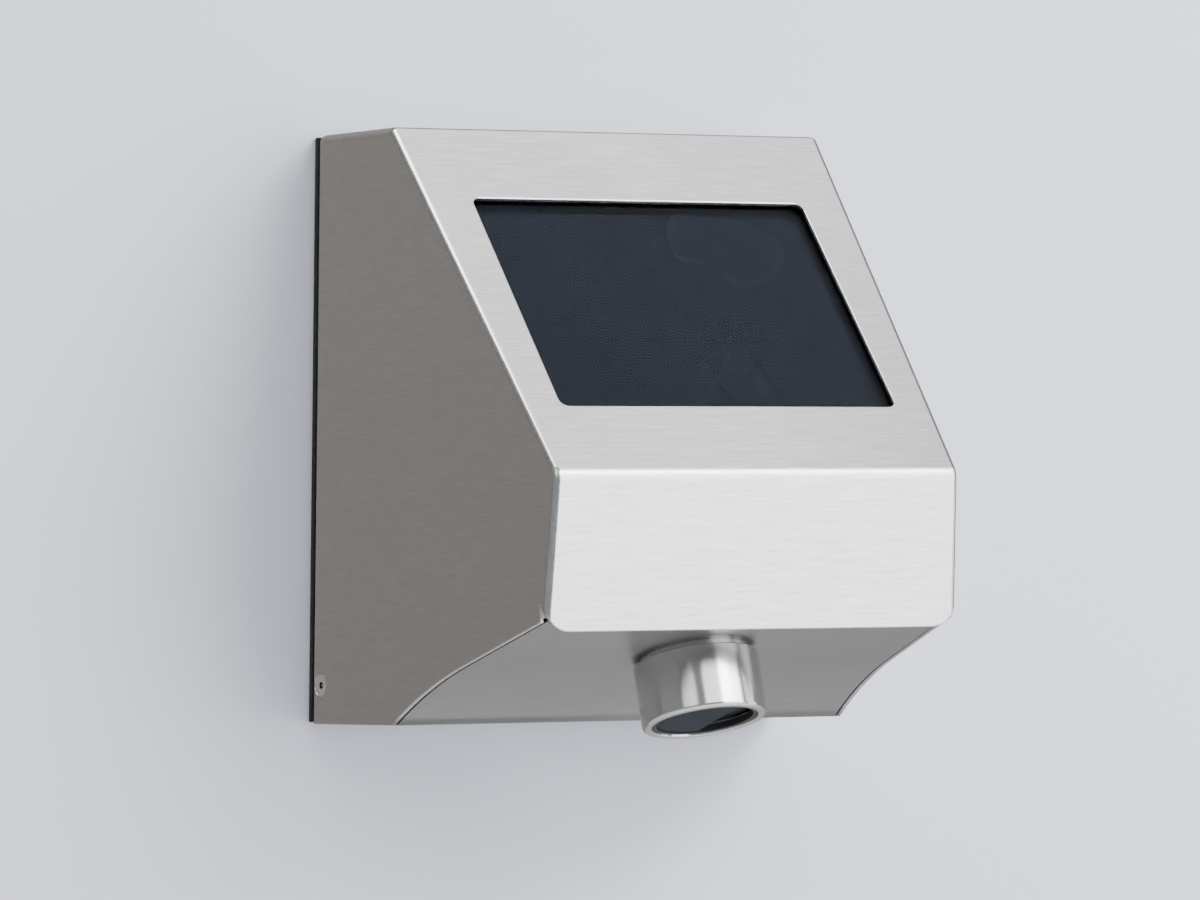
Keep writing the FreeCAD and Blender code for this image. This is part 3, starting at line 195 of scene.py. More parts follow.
def soft_box(name, spot, aim, width, height, watts):
    """A rectangular light at a spot, turned to face the point that it aims at."""
    light = bpy.data.lights.new(name, "AREA")
    light.shape = "RECTANGLE"
    light.size = width
    light.size_y = height
    light.energy = watts
    box = bpy.data.objects.new(name, light)
    scene.collection.objects.link(box)
    box.location = spot
    box.rotation_euler = (Vector(aim) - Vector(spot)).to_track_quat("-Z", "Y").to_euler()


def light_the_studio():
    middle = (0, -0.1, 0)
    face = (0, -0.15, -0.13)
    soft_box("front_box", (1.0, -1.85, 0.36), middle, 1.5, 2.3, 48)
    soft_box("fold_strip", (0.96, -1.49, 1.0), middle, 1.4, 0.4, 16)
    soft_box("band_box", (0.11, -1.72, 0.93), face, 1.7, 0.45, 9)
    soft_box("left_box", (-1.29, -1.05, 0.80), face, 0.8, 0.9, 4)
    soft_box("right_box", (1.75, -0.75, -0.1), middle, 0.7, 1.6, 6)
    soft_box("top_box", (0.60, -0.30, 2.0), middle, 2.0, 1.5, 16)
    soft_box("edge_box", (-0.62, -0.22, 1.7), middle, 0.6, 0.9, 14)
    world = bpy.data.worlds.new("studio")
    scene.world = world
    world.use_nodes = True
    sky = world.node_tree.nodes["Background"].inputs
    sky["Color"].default_value = (0.80, 0.82, 0.86, 1)
    sky["Strength"].default_value = 0.36
    left, right, low, high, behind = -2.6, 0.4, -1.1, 1.3, 0.9
    flag = mesh_object("flag", [(left, behind, low), (right, behind, low),
                                (right, behind, high), (left, behind, high)], [(0, 1, 2, 3)])
    material, tree, surface = finish_of("flag_cloth", (0.215, 0.203, 0.192), 0.95)
    relief(tree, surface, grain(tree, 900), 0.0002)
    flag.data.materials.append(material)
    for rays in ("camera", "diffuse", "shadow", "transmission"):
        setattr(flag, "visible_" + rays, False)


place_camera()
light_the_studio()


# ---- Wall plate ---------------------------------------------------------------------------
# Zinc-plated sheet steel, laser cut, screwed flat to the wall through its four corner holes.
# Everything that stays behind when the hood swings up is fixed to it.

SHARP = math.radians(32)


def deburred(node, body, materials, width=0.0002, choose=None):
    """The frame's own piece with its triangles joined into whole faces and every cut edge
    taken off by a width. choose picks a material's number from a face's normal."""
    same_point, flat_angle, sliver = 2e-6, math.radians(0.5), 2e-5
    rough = bmesh.new()
    rough.from_mesh(nodes[node].data)
    bmesh.ops.remove_doubles(rough, verts=rough.verts, dist=same_point)
    bmesh.ops.dissolve_limit(rough, angle_limit=flat_angle, verts=rough.verts, edges=rough.edges)
    bmesh.ops.dissolve_degenerate(rough, dist=sliver, edges=rough.edges)
    rough.verts.ensure_lookup_table()
    rough.verts.index_update()
    piece = mesh_object(node + "_made", [v.co for v in rough.verts],
                        [[v.index for v in f.verts] for f in rough.faces])
    rough.free()
    piece.data.polygons.foreach_set("use_smooth", [True] * len(piece.data.polygons))
    for material in materials:
        piece.data.materials.append(material)
    if choose:
        for face in piece.data.polygons:
            face.material_index = choose(face.normal)
    if width:
        edge = piece.modifiers.new("edge", "BEVEL")
        edge.width = width
        edge.segments = 2
        edge.limit_method = "ANGLE"
        edge.angle_limit = SHARP
        edge.use_clamp_overlap = False
        edge.harden_normals = True
    piece.modifiers.new("flats", "WEIGHTED_NORMAL").keep_sharp = True
    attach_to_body(piece, body)
    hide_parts(node)
    return piece


def zinc_plate():
    """Bright zinc with a faint yellow-blue passivation and soft rolling marks."""
    material, tree, surface = finish_of("zinc_plate", (0.60, 0.62, 0.63), 0.38, 0.95)
    spangle = add(tree, "TexVoronoi", {"Scale": 260.0}).outputs["Distance"]
    cloud = grain(tree, 22, 4)
    tone = add(tree, "Math", {0: spangle, 1: cloud}, operation="MULTIPLY").outputs[0]
    tree.links.new(shade(tree, tone, (0.66, 0.67, 0.66), (0.50, 0.50, 0.44)),
                   surface.inputs["Base Color"])
    tree.links.new(between(tree, cloud, 0.30, 0.46), surface.inputs["Roughness"])
    relief(tree, surface, grain(tree, 1400, 3, (1, 1, 0.06)), 0.00001, 0.4)
    return material


zinc = zinc_plate()
deburred("wall_plate", "base", [zinc], 0.0003)


# ---- Gasket and cable grommet ---------------------------------------------------------------
# A closed-cell foam frame under the hood's rim keeps rain out. A moulded rubber ring lines the
# hole that the supply cable comes through from inside the wall.

def foam():
    material, tree, surface = finish_of("foam_rubber", (0.018, 0.018, 0.019), 0.85)
    cells = add(tree, "TexVoronoi", {"Scale": 2200.0}).outputs["Distance"]
    relief(tree, surface, cells, 0.00008, 0.6)
    tone = between(tree, grain(tree, 300, 3), 0.0, 1.0)
    tree.links.new(shade(tree, tone, (0.012, 0.012, 0.013), (0.028, 0.028, 0.03)),
                   surface.inputs["Base Color"])
    return material


def moulded_rubber():
    material, tree, surface = finish_of("moulded_rubber", (0.02, 0.02, 0.021), 0.6)
    bloom = grain(tree, 90, 4)
    tree.links.new(between(tree, bloom, 0.50, 0.72), surface.inputs["Roughness"])
    tree.links.new(shade(tree, bloom, (0.014, 0.014, 0.015), (0.032, 0.031, 0.030)),
                   surface.inputs["Base Color"])
    relief(tree, surface, grain(tree, 3000, 2), 0.00001, 0.4)
    return material


foam_rubber = foam()
rubber = moulded_rubber()
deburred("wall_gasket", "base", [foam_rubber], 0.0004)
deburred("cable_grommet", "base", [rubber], 0.0004)


# ---- Hinge: brackets, ears and pin ----------------------------------------------------------
# Two gooseneck brackets milled from thick plate stand out from the wall plate. A ground pin runs
# right across, held in the hood's welded ears and turning in the brackets like a lid's hinge.

def turned_steel():
    """Bright steel off a lathe or a header, with fine rings and a few dull spots."""
    material, tree, surface = finish_of("turned_steel", (0.66, 0.65, 0.64), 0.27, 1.0)
    wear = grain(tree, 160, 4)
    tree.links.new(between(tree, wear, 0.20, 0.36), surface.inputs["Roughness"])
    tree.links.new(shade(tree, wear, (0.56, 0.55, 0.54), (0.72, 0.71, 0.70)),
                   surface.inputs["Base Color"])
    relief(tree, surface, grain(tree, 4200, 2), 0.000004, 0.4)
    return material


bright = turned_steel()
deburred("hinge_brackets", "base", [zinc], 0.0004)
deburred("hinge_ears", "hood", [zinc], 0.0003)
deburred("hinge_pin", "hood", [bright], 0.0003)


# ---- Screw brackets, security screws and clamp nuts -------------------------------------------
# Folded brackets with slots open to the front. Each security screw, countersunk into a cheek,
# carries a square nut that clamps behind the slotted flange; slackened, both ride off with the hood.

deburred("screw_brackets", "base", [zinc], 0.0003)


def socket_shade_finish():
    """Near-black inside the socket and under the head: painted shade in the recess, not a finish of
    the steel.
    """
    material, tree, surface = finish_of("socket_painted_shade", (0.02, 0.02, 0.02), 0.6, 0.4)
    relief(tree, surface, grain(tree, 5000, 2), 0.00001, 0.3)
    return material


def screw_face():
    """The heads' flat faces, blasted matt, so they stand out pale against the brushed cheek."""
    material, tree, surface = finish_of("blasted_steel", (0.86, 0.85, 0.83), 0.55, 1.0)
    blast = grain(tree, 9000, 2)
    tree.links.new(shade(tree, blast, (0.78, 0.77, 0.75), (0.93, 0.92, 0.90)),
                   surface.inputs["Base Color"])
    relief(tree, surface, blast, 0.00001, 0.4)
    return material


def socket_or_face(normal):
    """0 for the flat faces, 1 for the socket's walls and the shank, which carry the painted shade."""
    return 0 if abs(normal.x) > 0.6 else 1


deburred("security_screws", "hood", [screw_face(), socket_shade_finish()], 0.00018,
         socket_or_face)
deburred("clamp_nuts", "hood", [bright], 0.0003)


# ---- Power supply -----------------------------------------------------------------------------
# An enclosed mains supply: a pressed aluminium case on two ears, vented by rows of slots in its
# front, held to the wall plate by four pan-head screws.

def pressed_aluminium(name, dark, light, lines):
    """Mill-finish sheet with rolling lines along an axis."""
    material, tree, surface = finish_of(name, light, 0.36, 1.0)
    rolling = grain(tree, 1500, 3, lines)
    tree.links.new(shade(tree, rolling, dark, light), surface.inputs["Base Color"])
    tree.links.new(between(tree, rolling, 0.28, 0.44), surface.inputs["Roughness"])
    relief(tree, surface, rolling, 0.000008, 0.4)
    return material


def slab(piece, low, high, number=0):
    """Add a block between two corners to a mesh being built, with one material's number."""
    grown = bmesh.ops.create_cube(piece, size=1.0)["verts"]
    for vertex in grown:
        vertex.co = Vector((low[i] if vertex.co[i] < 0 else high[i]) for i in range(3))
    for face in {f for v in grown for f in v.link_faces}:
        face.material_index = number
    return grown


def rod(piece, start, end, radius, sides=24, number=0):
    """Add a capped round bar from start to end to a mesh being built."""
    way = Vector(end) - Vector(start)
    grown = bmesh.ops.create_cone(piece, cap_ends=True, segments=sides, radius1=radius,
                                  radius2=radius, depth=way.length)["verts"]
    turn = way.to_track_quat("Z", "Y").to_matrix().to_4x4()
    middle = (Vector(start) + Vector(end)) / 2
    bmesh.ops.transform(piece, matrix=Matrix.Translation(middle) @ turn, verts=grown)
    for face in {f for v in grown for f in v.link_faces}:
        face.material_index = number


def fitted(name, piece, body, materials, width=0.0002, replaced=()):
    """Turn a mesh being built into a piece with eased edges, on its body."""
    mesh = bpy.data.meshes.new(name)
    piece.to_mesh(mesh)
    piece.free()
    thing = bpy.data.objects.new(name, mesh)
    scene.collection.objects.link(thing)
    mesh.polygons.foreach_set("use_smooth", [True] * len(mesh.polygons))
    for material in materials:
        mesh.materials.append(material)
    edge = thing.modifiers.new("edge", "BEVEL")
    edge.width = width
    edge.segments = 2
    edge.limit_method = "ANGLE"
    edge.angle_limit = SHARP
    edge.harden_normals = True
    thing.modifiers.new("flats", "WEIGHTED_NORMAL").keep_sharp = True
    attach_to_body(thing, body)
    if replaced:
        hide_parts(*replaced)
    return thing


def vented_case():
    """The case's front is a grid of faces; every vent slot is a face pushed inwards, its floor painted
    near-black as shade.
    """
    low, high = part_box("power_supply")
    ear, ear_sheet = 0.009, 0.002
    border = 0.006
    rib_left, rib_right = 0.0215, 0.0245
    first_slot, after_last_slot = 0.008, 0.012
    slot_height, slot_pitch, slot_depth = 0.002, 0.0055, 0.0012
    case = bmesh.new()
    slab(case, (low.x, high.y - ear_sheet, low.z), (high.x, high.y, high.z))
    columns = [low.x, low.x + border, low.x + rib_left, low.x + rib_right, high.x - border,
               high.x]
    rows = [low.z + ear, low.z + ear + first_slot]
    while rows[-1] < high.z - ear - after_last_slot:
        rows += [rows[-1] + slot_height, rows[-1] + slot_pitch]
    rows.append(high.z - ear)
    front, back = low.y, high.y - ear_sheet
    grid = [[case.verts.new((x, front, z)) for x in columns] for z in rows]
    base = [[case.verts.new((x, back, z)) for x in columns] for z in rows]
    slots = []
    for j in range(len(rows) - 1):
        for i in range(len(columns) - 1):
            face = case.faces.new((grid[j][i], grid[j][i + 1], grid[j + 1][i + 1], grid[j + 1][i]))
            case.faces.new((base[j][i], base[j + 1][i], base[j + 1][i + 1], base[j][i + 1]))
            if i in (1, 3) and j % 2 == 1 and j < len(rows) - 2:
                slots.append(face)
    for j in range(len(rows) - 1):
        case.faces.new((grid[j][0], grid[j + 1][0], base[j + 1][0], base[j][0]))
        case.faces.new((grid[j][-1], base[j][-1], base[j + 1][-1], grid[j + 1][-1]))
    for i in range(len(columns) - 1):
        case.faces.new((grid[0][i], base[0][i], base[0][i + 1], grid[0][i + 1]))
        case.faces.new((grid[-1][i], grid[-1][i + 1], base[-1][i + 1], base[-1][i]))
    for face in slots:
        deep = bmesh.ops.extrude_discrete_faces(case, faces=[face])["faces"][0]
        bmesh.ops.translate(case, verts=deep.verts, vec=(0, slot_depth, 0))
        deep.material_index = 1
    return case


supply_case = pressed_aluminium("supply_case", (0.62, 0.63, 0.64), (0.76, 0.77, 0.78),
                                (1, 1, 0.04))
# Near-black for the vent slots' floors, the screws' slots and the connectors' mouths: painted shade in
# those recesses.
painted_shade_inside = finish_of("painted_shade_inside", (0.012, 0.012, 0.013), 0.8)
relief(painted_shade_inside[1], painted_shade_inside[2], grain(painted_shade_inside[1], 700), 0.00003)
fitted("power_supply_case", vented_case(), "base", [supply_case, painted_shade_inside[0]],
       0.0003, ["power_supply"])
deburred("supply_screws", "base", [bright], 0.0004)


# ---- Terminal block, earth stud and tamper switch -----------------------------------------------
# A moulded block with slotted screws down its wells joins the supply cable to the machine. The
# earth stud stands beside it, and a small switch low down knows when the hood is lifted.

def moulded(name, colour, roughness=0.5):
    """Moulded plastic: even colour, a faint flow mark and a fine spark-eroded texture."""
    material, tree, surface = finish_of(name, colour, roughness)
    darker = tuple(c * 0.86 for c in colour)
    tree.links.new(shade(tree, grain(tree, 60, 3), darker, colour), surface.inputs["Base Color"])
    texture = grain(tree, 2600, 2)
    tree.links.new(between(tree, texture, roughness - 0.06, roughness + 0.08),
                   surface.inputs["Roughness"])
    relief(tree, surface, texture, 0.00002, 0.4)
    return material


def terminal_screws():
    """Five slotted screws down their wells, each with a near-black strip across it: painted shade
    standing for the slot.
    """
    low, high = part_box("terminal_block")
    pitch = 0.009
    head_front, head_back, head_radius = low.y + 0.0038, low.y + 0.0056, 0.0019
    strip_front, strip_half_long, strip_half_wide = low.y + 0.0035, 0.0017, 0.0003
    z = (low.z + high.z) / 2
    screws = bmesh.new()
    for i in range(5):
        x = (low.x + high.x) / 2 + (i - 2) * pitch
        rod(screws, (x, head_front, z), (x, head_back, z), head_radius)
        slab(screws, (x - strip_half_long, strip_front, z - strip_half_wide),
             (x + strip_half_long, head_front, z + strip_half_wide), 1)
    return screws


block_plastic = moulded("block_plastic", (0.52, 0.55, 0.53))
black_plastic = moulded("black_plastic", (0.018, 0.018, 0.020), 0.45)
deburred("terminal_block", "base", [block_plastic], 0.0005)
fitted("terminal_screws", terminal_screws(), "base", [bright, painted_shade_inside[0]],
       0.0001)
deburred("earth_stud", "base", [bright], 0.0003)
deburred("tamper_switch", "base", [black_plastic], 0.0003)


# ---- Ticket roll, its core, spindle, bracket and paper sensor -------------------------------------
# 38 mm thermal paper wound on a card core, free to turn on a fixed steel spindle between two
# arms. A reflective sensor beside the roll warns when the paper runs low.

def spun(name, profile, centre, axis, sides=96):
    """Turn a closed profile of (radius, distance) corners about an axis, as on a lathe."""
    axis = Vector(axis).normalized()
    turn = axis.to_track_quat("Z", "Y").to_matrix()
    points, faces = [], []
    for k in range(sides):
        angle = 2 * math.pi * k / sides
        for radius, along in profile:
            spot = Vector((radius * math.cos(angle), radius * math.sin(angle), along))
            points.append(turn @ spot + Vector(centre))
    count = len(profile)
    for k in range(sides):
        for i in range(count):
            j = (i + 1) % count
            n = (k + 1) % sides
            faces.append((k * count + i, k * count + j, n * count + j, n * count + i))
    piece = mesh_object(name, points, faces)
    shell = bmesh.new()
    shell.from_mesh(piece.data)
    bmesh.ops.remove_doubles(shell, verts=shell.verts, dist=1e-7)
    bmesh.ops.recalc_face_normals(shell, faces=shell.faces)
    shell.to_mesh(piece.data)
    shell.free()
    piece.data.polygons.foreach_set("use_smooth", [True] * len(piece.data.polygons))
    return piece


def eased(profile, radius, steps=4):
    """Round every square corner of a closed profile by the same small radius."""
    part_of_side = 2.2
    rounded = []
    for i, corner in enumerate(profile):
        here = Vector(corner)
        before = Vector(profile[i - 1]) - here
        after = Vector(profile[(i + 1) % len(profile)]) - here
        reach = min(radius, before.length / part_of_side, after.length / part_of_side)
        start = here + before.normalized() * reach
        end = here + after.normalized() * reach
        for k in range(steps + 1):
            share = k / steps
            spot = start * (1 - share) ** 2 + here * 2 * share * (1 - share) + end * share ** 2
            rounded.append(tuple(spot))
    return rounded


def attach(piece, body, slot, material, *replaced):
    """Give a finished mesh its material and body, and hide the nodes that it stands for. The slot is
    not used.
    """
    piece.data.materials.append(material)
    piece.modifiers.new("flats", "WEIGHTED_NORMAL").keep_sharp = True
    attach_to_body(piece, body)
    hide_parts(*replaced)
    return piece


def roll_axis():
    spin = [j for j in frame["joints"] if j["name"] == "roll_spin"][0]
    return Vector(spin["pos_m"])


def radius_about(node, centre):
    """A node's radius about an axis along X, and where it starts and ends on that axis."""
    low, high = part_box(node)
    return high.z - centre.z, low.x, high.x


def wound_paper(name, low_tone, high_tone, pitch):
    """Wound layers: rings about the roll's axis on the end faces, fibres on the outside."""
    material, tree, surface = finish_of(name, high_tone, 0.62)
    centre = roll_axis()
    place = add(tree, "TexCoord").outputs["Object"]
    offset = add(tree, "Mapping", {"Vector": place, "Location": (0, -centre.y, -centre.z)})
    parts = add(tree, "SeparateXYZ", {0: offset.outputs[0]})
    flat = add(tree, "CombineXYZ", {0: 0.0, 1: parts.outputs[1], 2: parts.outputs[2]})
    radius = add(tree, "VectorMath", {0: flat.outputs[0]}, operation="LENGTH").outputs["Value"]
    turns = add(tree, "Math", {0: radius, 1: 2 * math.pi / pitch}, operation="MULTIPLY").outputs[0]
    ring = add(tree, "Math", {0: turns}, operation="SINE").outputs[0]
    ring = add(tree, "MapRange", {"Value": ring, "From Min": -1.0}).outputs["Result"]
    edge = add(tree, "Math", {0: ring, 1: grain(tree, 200, 3)}, operation="MULTIPLY").outputs[0]
    tree.links.new(shade(tree, edge, low_tone, high_tone), surface.inputs["Base Color"])
    relief(tree, surface, edge, 0.00006, 0.5)
    return material


def wind_the_roll():
    """The roll's end faces are a little uneven from layer to layer, as wound paper is."""
    centre = roll_axis()
    outer, left, right = radius_about("ticket_roll", centre)
    core = radius_about("roll_core", centre)[0]
    bore = radius_about("roll_spindle", centre)[0] + 0.00006
    steps = 22
    rim, least, uneven, beat = 0.0002, 0.0001, 0.00018, 2.1
    ends = []
    for i in range(steps + 1):
        radius = core + (outer - core) * i / steps
        sunk = least + uneven * abs(math.sin(i * beat)) if 0 < i < steps else rim
        ends.append((radius, sunk))
    half = (right - left) / 2
    profile = [(r, -half + d) for r, d in ends] + [(r, half - d) for r, d in reversed(ends)]
    paper = wound_paper("thermal_paper", (0.74, 0.74, 0.72), (0.92, 0.92, 0.90), 0.00042)
    middle = (0, centre.y, centre.z)
    attach(spun("wound_tickets", profile, middle, (1, 0, 0)), "paper", "ticket_paper", paper,
           "ticket_roll")
    tube = eased([(bore, -half), (core, -half), (core, half), (bore, half)], 0.0003)
    card = wound_paper("card", (0.26, 0.19, 0.12), (0.46, 0.35, 0.23), 0.0006)
    attach(spun("card_core", tube, middle, (1, 0, 0)), "paper", "card", card, "roll_core")


wind_the_roll()
deburred("roll_spindle", "base", [bright], 0.0005)
deburred("roll_bracket", "base", [zinc], 0.0004)
deburred("paper_sensor", "base", [black_plastic], 0.0005)


# ---- Printer: frame, bracket, platen and its drive -------------------------------------------------
# The paper runs down between a sprung print head and a rubber platen. A stepper motor turns the
# platen through a clamped coupling; the frame hangs between two arms of its bracket.

def stepper():
    """Black laminations between two cast end caps with cut corners, and four cap screws."""
    low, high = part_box("stepper_motor")
    cap = (high.x - low.x) * 0.24
    cut = 0.003
    sheets = 9
    sheet_inset, other_inset = 0.0006, 0.0004
    screw_reach, screw_depth, screw_radius = 0.0098, 0.001, 0.0014
    motor = bmesh.new()

    def plate(x0, x1, inset, number):
        y0, y1, z0, z1 = low.y + inset, high.y - inset, low.z + inset, high.z - inset
        ring = [(y0 + cut, z0), (y1 - cut, z0), (y1, z0 + cut), (y1, z1 - cut),
                (y1 - cut, z1), (y0 + cut, z1), (y0, z1 - cut), (y0, z0 + cut)]
        left = [motor.verts.new((x0, y, z)) for y, z in ring]
        right = [motor.verts.new((x1, y, z)) for y, z in ring]
        faces = [motor.faces.new(left[::-1]), motor.faces.new(right)]
        for i in range(8):
            j = (i + 1) % 8
            faces.append(motor.faces.new((left[i], left[j], right[j], right[i])))
        for face in faces:
            face.material_index = number

    plate(low.x, low.x + cap, 0, 1)
    step = (high.x - low.x - 2 * cap) / sheets
    for i in range(sheets):
        start = low.x + cap + i * step
        plate(start, start + step, other_inset if i % 2 else sheet_inset, 0)
    plate(high.x - cap, high.x, 0, 1)
    for sy in (-1, 1):
        for sz in (-1, 1):
            y = (low.y + high.y) / 2 + sy * screw_reach
            z = (low.z + high.z) / 2 + sz * screw_reach
            rod(motor, (high.x - screw_depth, y, z), (high.x, y, z), screw_radius, 16, 2)
    bmesh.ops.recalc_face_normals(motor, faces=motor.faces)
    return motor


def turned_brass():
    material, tree, surface = finish_of("turned_brass", (0.72, 0.55, 0.28), 0.3, 1.0)
    tarnish = grain(tree, 120, 4)
    tree.links.new(shade(tree, tarnish, (0.52, 0.38, 0.18), (0.78, 0.60, 0.32)),
                   surface.inputs["Base Color"])
    tree.links.new(between(tree, tarnish, 0.22, 0.42), surface.inputs["Roughness"])
    return material


def lamination():
    material, tree, surface = finish_of("lamination", (0.035, 0.035, 0.04), 0.5, 0.4)
    tree.links.new(between(tree, grain(tree, 260, 3), 0.4, 0.6), surface.inputs["Roughness"])
    relief(tree, surface, grain(tree, 2400), 0.00001)
    return material


cast_cap = pressed_aluminium("cast_cap", (0.50, 0.51, 0.52), (0.66, 0.67, 0.68), (1, 1, 1))
machined = pressed_aluminium("machined_aluminium", (0.60, 0.61, 0.62), (0.74, 0.75, 0.76),
                             (1, 0.05, 1))
brass = turned_brass()
laminated = lamination()
deburred("printer_frame", "base", [zinc], 0.0003)
deburred("printer_bracket", "base", [zinc], 0.0003)
deburred("bracket_screws", "base", [bright], 0.0004)
deburred("platen_bushes", "base", [brass], 0.0002)
fitted("stepper_body", stepper(), "base", [laminated, cast_cap, bright], 0.00015,
       ["stepper_motor"])
deburred("motor_posts", "base", [zinc], 0.0001)
deburred("platen_shaft", "platen", [bright], 0.0003)
deburred("motor_shaft", "platen", [bright], 0.0002)
deburred("platen_rubber", "platen", [rubber], 0.0003)
deburred("shaft_coupling", "platen", [machined], 0.0003)


# ---- Print head, its carrier and pivot -----------------------------------------------------------
# A glazed ceramic strip with the line of heaters along it, stuck to a folded carrier. The
# carrier swings back on its pivot to clear a jam, and springs press it to the platen again.

def glazed_ceramic():
    material, tree, surface = finish_of("glazed_ceramic", (0.80, 0.80, 0.78), 0.18)
    tree.links.new(shade(tree, grain(tree, 700, 3), (0.72, 0.72, 0.70), (0.84, 0.84, 0.82)),
                   surface.inputs["Base Color"])
    surface.inputs["Coat Weight"].default_value = 0.5
    return material


def heater_line():
    """The raised strip of heaters along the head's face, and its driver's resin cover."""
    low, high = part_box("print_head")
    line_end, line_half, line_height = 0.001, 0.0004, 0.00008
    resin_end, resin_edge, resin_height, below_line = 0.003, 0.001, 0.0001, 0.003
    strip = bmesh.new()
    z = low.z + (high.z - low.z) * 0.55
    slab(strip, (low.x + line_end, high.y, z - line_half),
         (high.x - line_end, high.y + line_height, z + line_half))
    slab(strip, (low.x + resin_end, high.y, low.z + resin_edge),
         (high.x - resin_end, high.y + resin_height, z - below_line), 1)
    return strip


deburred("head_carrier", "head", [zinc], 0.0002)
deburred("head_pivot", "base", [bright], 0.0002)
deburred("print_head", "head", [glazed_ceramic()], 0.0001)
fitted("heater_line", heater_line(), "head", [brass, black_plastic], 0.00002)


# ---- Cutter -------------------------------------------------------------------------------------
# A ground blade slides across the ticket slot in a hardened frame under the printer, pushed by a
# small geared motor behind it.

def ground_steel():
    """Surface-ground steel, with fine marks straight across the blade's travel."""
    material, tree, surface = finish_of("ground_steel", (0.55, 0.55, 0.56), 0.25, 1.0)
    marks = grain(tree, 3000, 3, (0.03, 1, 1))
    tree.links.new(shade(tree, marks, (0.46, 0.46, 0.47), (0.66, 0.66, 0.67)),
                   surface.inputs["Base Color"])
    tree.links.new(between(tree, marks, 0.18, 0.34), surface.inputs["Roughness"])
    relief(tree, surface, marks, 0.000006)
    return material


ground = ground_steel()
deburred("cutter_frame", "base", [ground], 0.0003)
deburred("cutter_blade", "blade", [ground], 0.0001)
deburred("cutter_motor", "base", [laminated], 0.0012)


# ---- Hood --------------------------------------------------------------------------------------
# 2 mm stainless, one sheet bent over the slope and the face and welded to two drafted cheeks.
# The welds are ground and dressed round; the flats are belt-brushed, across on every face.

def brushed_stainless(name, colour, roughness, along, anisotropy=0.55, depth=0.000007,
                      contrast=0.15):
    """Belt-brushed sheet: long soft streaks, fine lines in them, and a faint cloudiness."""
    dark = tuple(c * (1 - contrast) for c in colour)
    light = tuple(min(1.0, c * (1 + contrast)) for c in colour)
    material, tree, surface = finish_of(name, colour, roughness, 1.0)
    squeeze = tuple(0.035 if axis == along else 1.0 for axis in "XYZ")
    longer = tuple(0.05 if axis == along else 1.0 for axis in "XYZ")
    streaks = grain(tree, 1050, 5, longer)
    lines = grain(tree, 2700, 3, squeeze)
    cloud = grain(tree, 14, 3, tuple(0.4 if axis == along else 1.0 for axis in "XYZ"))
    tone = add(tree, "Mix", {0: 0.45}, data_type="FLOAT")
    tree.links.new(streaks, tone.inputs[2])
    tree.links.new(lines, tone.inputs[3])
    tone = add(tree, "Mix", {0: 0.22, 3: cloud}, data_type="FLOAT")
    tree.links.new(between(tree, streaks, 0.0, 1.0), tone.inputs[2])
    tree.links.new(shade(tree, tone.outputs[0], dark, light), surface.inputs["Base Color"])
    tree.links.new(between(tree, lines, roughness - 0.04, roughness + 0.05),
                   surface.inputs["Roughness"])
    first = relief(tree, surface, streaks, depth * 2, 0.35)
    relief(tree, surface, lines, depth, 0.35, first)
    surface.inputs["Anisotropic"].default_value = anisotropy
    surface.inputs["Anisotropic Rotation"].default_value = 0.25
    tangent = add(tree, "Tangent", direction_type="RADIAL", axis="Z")
    tree.links.new(tangent.outputs[0], surface.inputs["Tangent"])
    return material


def side_of_hood(normal):
    """0 for the bent sheet, 1 for the cheeks, 2 for the dressed weld between them, whose lighter
    colour is partly a painted highlight.
    """
    if abs(normal.x) > 0.985:
        return 1
    return 2 if abs(normal.x) > 0.12 else 0


sheet_steel = brushed_stainless("brushed_sheet", (0.68, 0.67, 0.67), 0.28, "X")
cheek_steel = brushed_stainless("brushed_cheek", (0.68, 0.66, 0.64), 0.34, "Y", contrast=0.07)
# The dressed weld is lighter than the sheet: partly its own ground finish, partly a painted highlight
# along the rounded edges.
dressed_weld_and_highlight = brushed_stainless("dressed_weld_and_highlight", (0.72, 0.715, 0.71), 0.24, "Z",
                                 anisotropy=0.2, depth=0.000003)
deburred("hood_shell", "hood", [sheet_steel, cheek_steel, dressed_weld_and_highlight],
         0.00045, side_of_hood)


# ---- Underside panel, its studs and nuts --------------------------------------------------------
# 1.5 mm stainless rolled to a cove, with a lip turned up behind the face. Three welded studs and
# washer-faced nuts hold the lip; a 1 mm shadow gap runs along each cheek.

# The underside's stainless is given about half the hood's brightness: painted shade on the face turned
# down.
under_steel_painted_shade = brushed_stainless("brushed_underside_painted_shade", (0.36, 0.355, 0.35), 0.36, "X",
                                anisotropy=0.4, depth=0.000005, contrast=0.10)
deburred("underside_panel", "hood", [under_steel_painted_shade], 0.0003)
deburred("panel_studs", "hood", [bright], 0.0002)
deburred("panel_nuts", "hood", [bright], 0.0003)


# ---- Display: seal, cover glass, panel and tray ---------------------------------------------------
# A toughened cover glass is pressed up against a black foam seal under the window. The panel
# lies on the glass from inside, and a steel tray on four studs holds both.

def slope_of(node):
    """A matrix with its origin at the middle of a flat node and Z along its outer normal."""
    mesh = nodes[node].data
    widest = max(mesh.polygons, key=lambda f: f.area)
    normal = widest.normal if widest.normal.z > 0 else -widest.normal
    low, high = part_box(node)
    across = Vector((1, 0, 0))
    turn = Matrix((across, normal.cross(across), normal)).transposed().to_4x4()
    return Matrix.Translation((low + high) / 2) @ turn


def flat_extent(node, place):
    """A node's half sizes in a slope's own axes."""
    back = place.inverted()
    spots = [back @ v.co for v in nodes[node].data.vertices]
    return [max(abs(p[i]) for p in spots) for i in range(3)]


def cover_glass_finish():
    """Glass coated against reflections: faintly blue-grey, with a little wipe haze."""
    material, tree, surface = finish_of("cover_glass", (0.50, 0.56, 0.66), 0.035)
    surface.inputs["Transmission Weight"].default_value = 1.0
    surface.inputs["IOR"].default_value = 1.13
    haze = grain(tree, 30, 4)
    tree.links.new(between(tree, haze, 0.025, 0.06), surface.inputs["Roughness"])
    return material


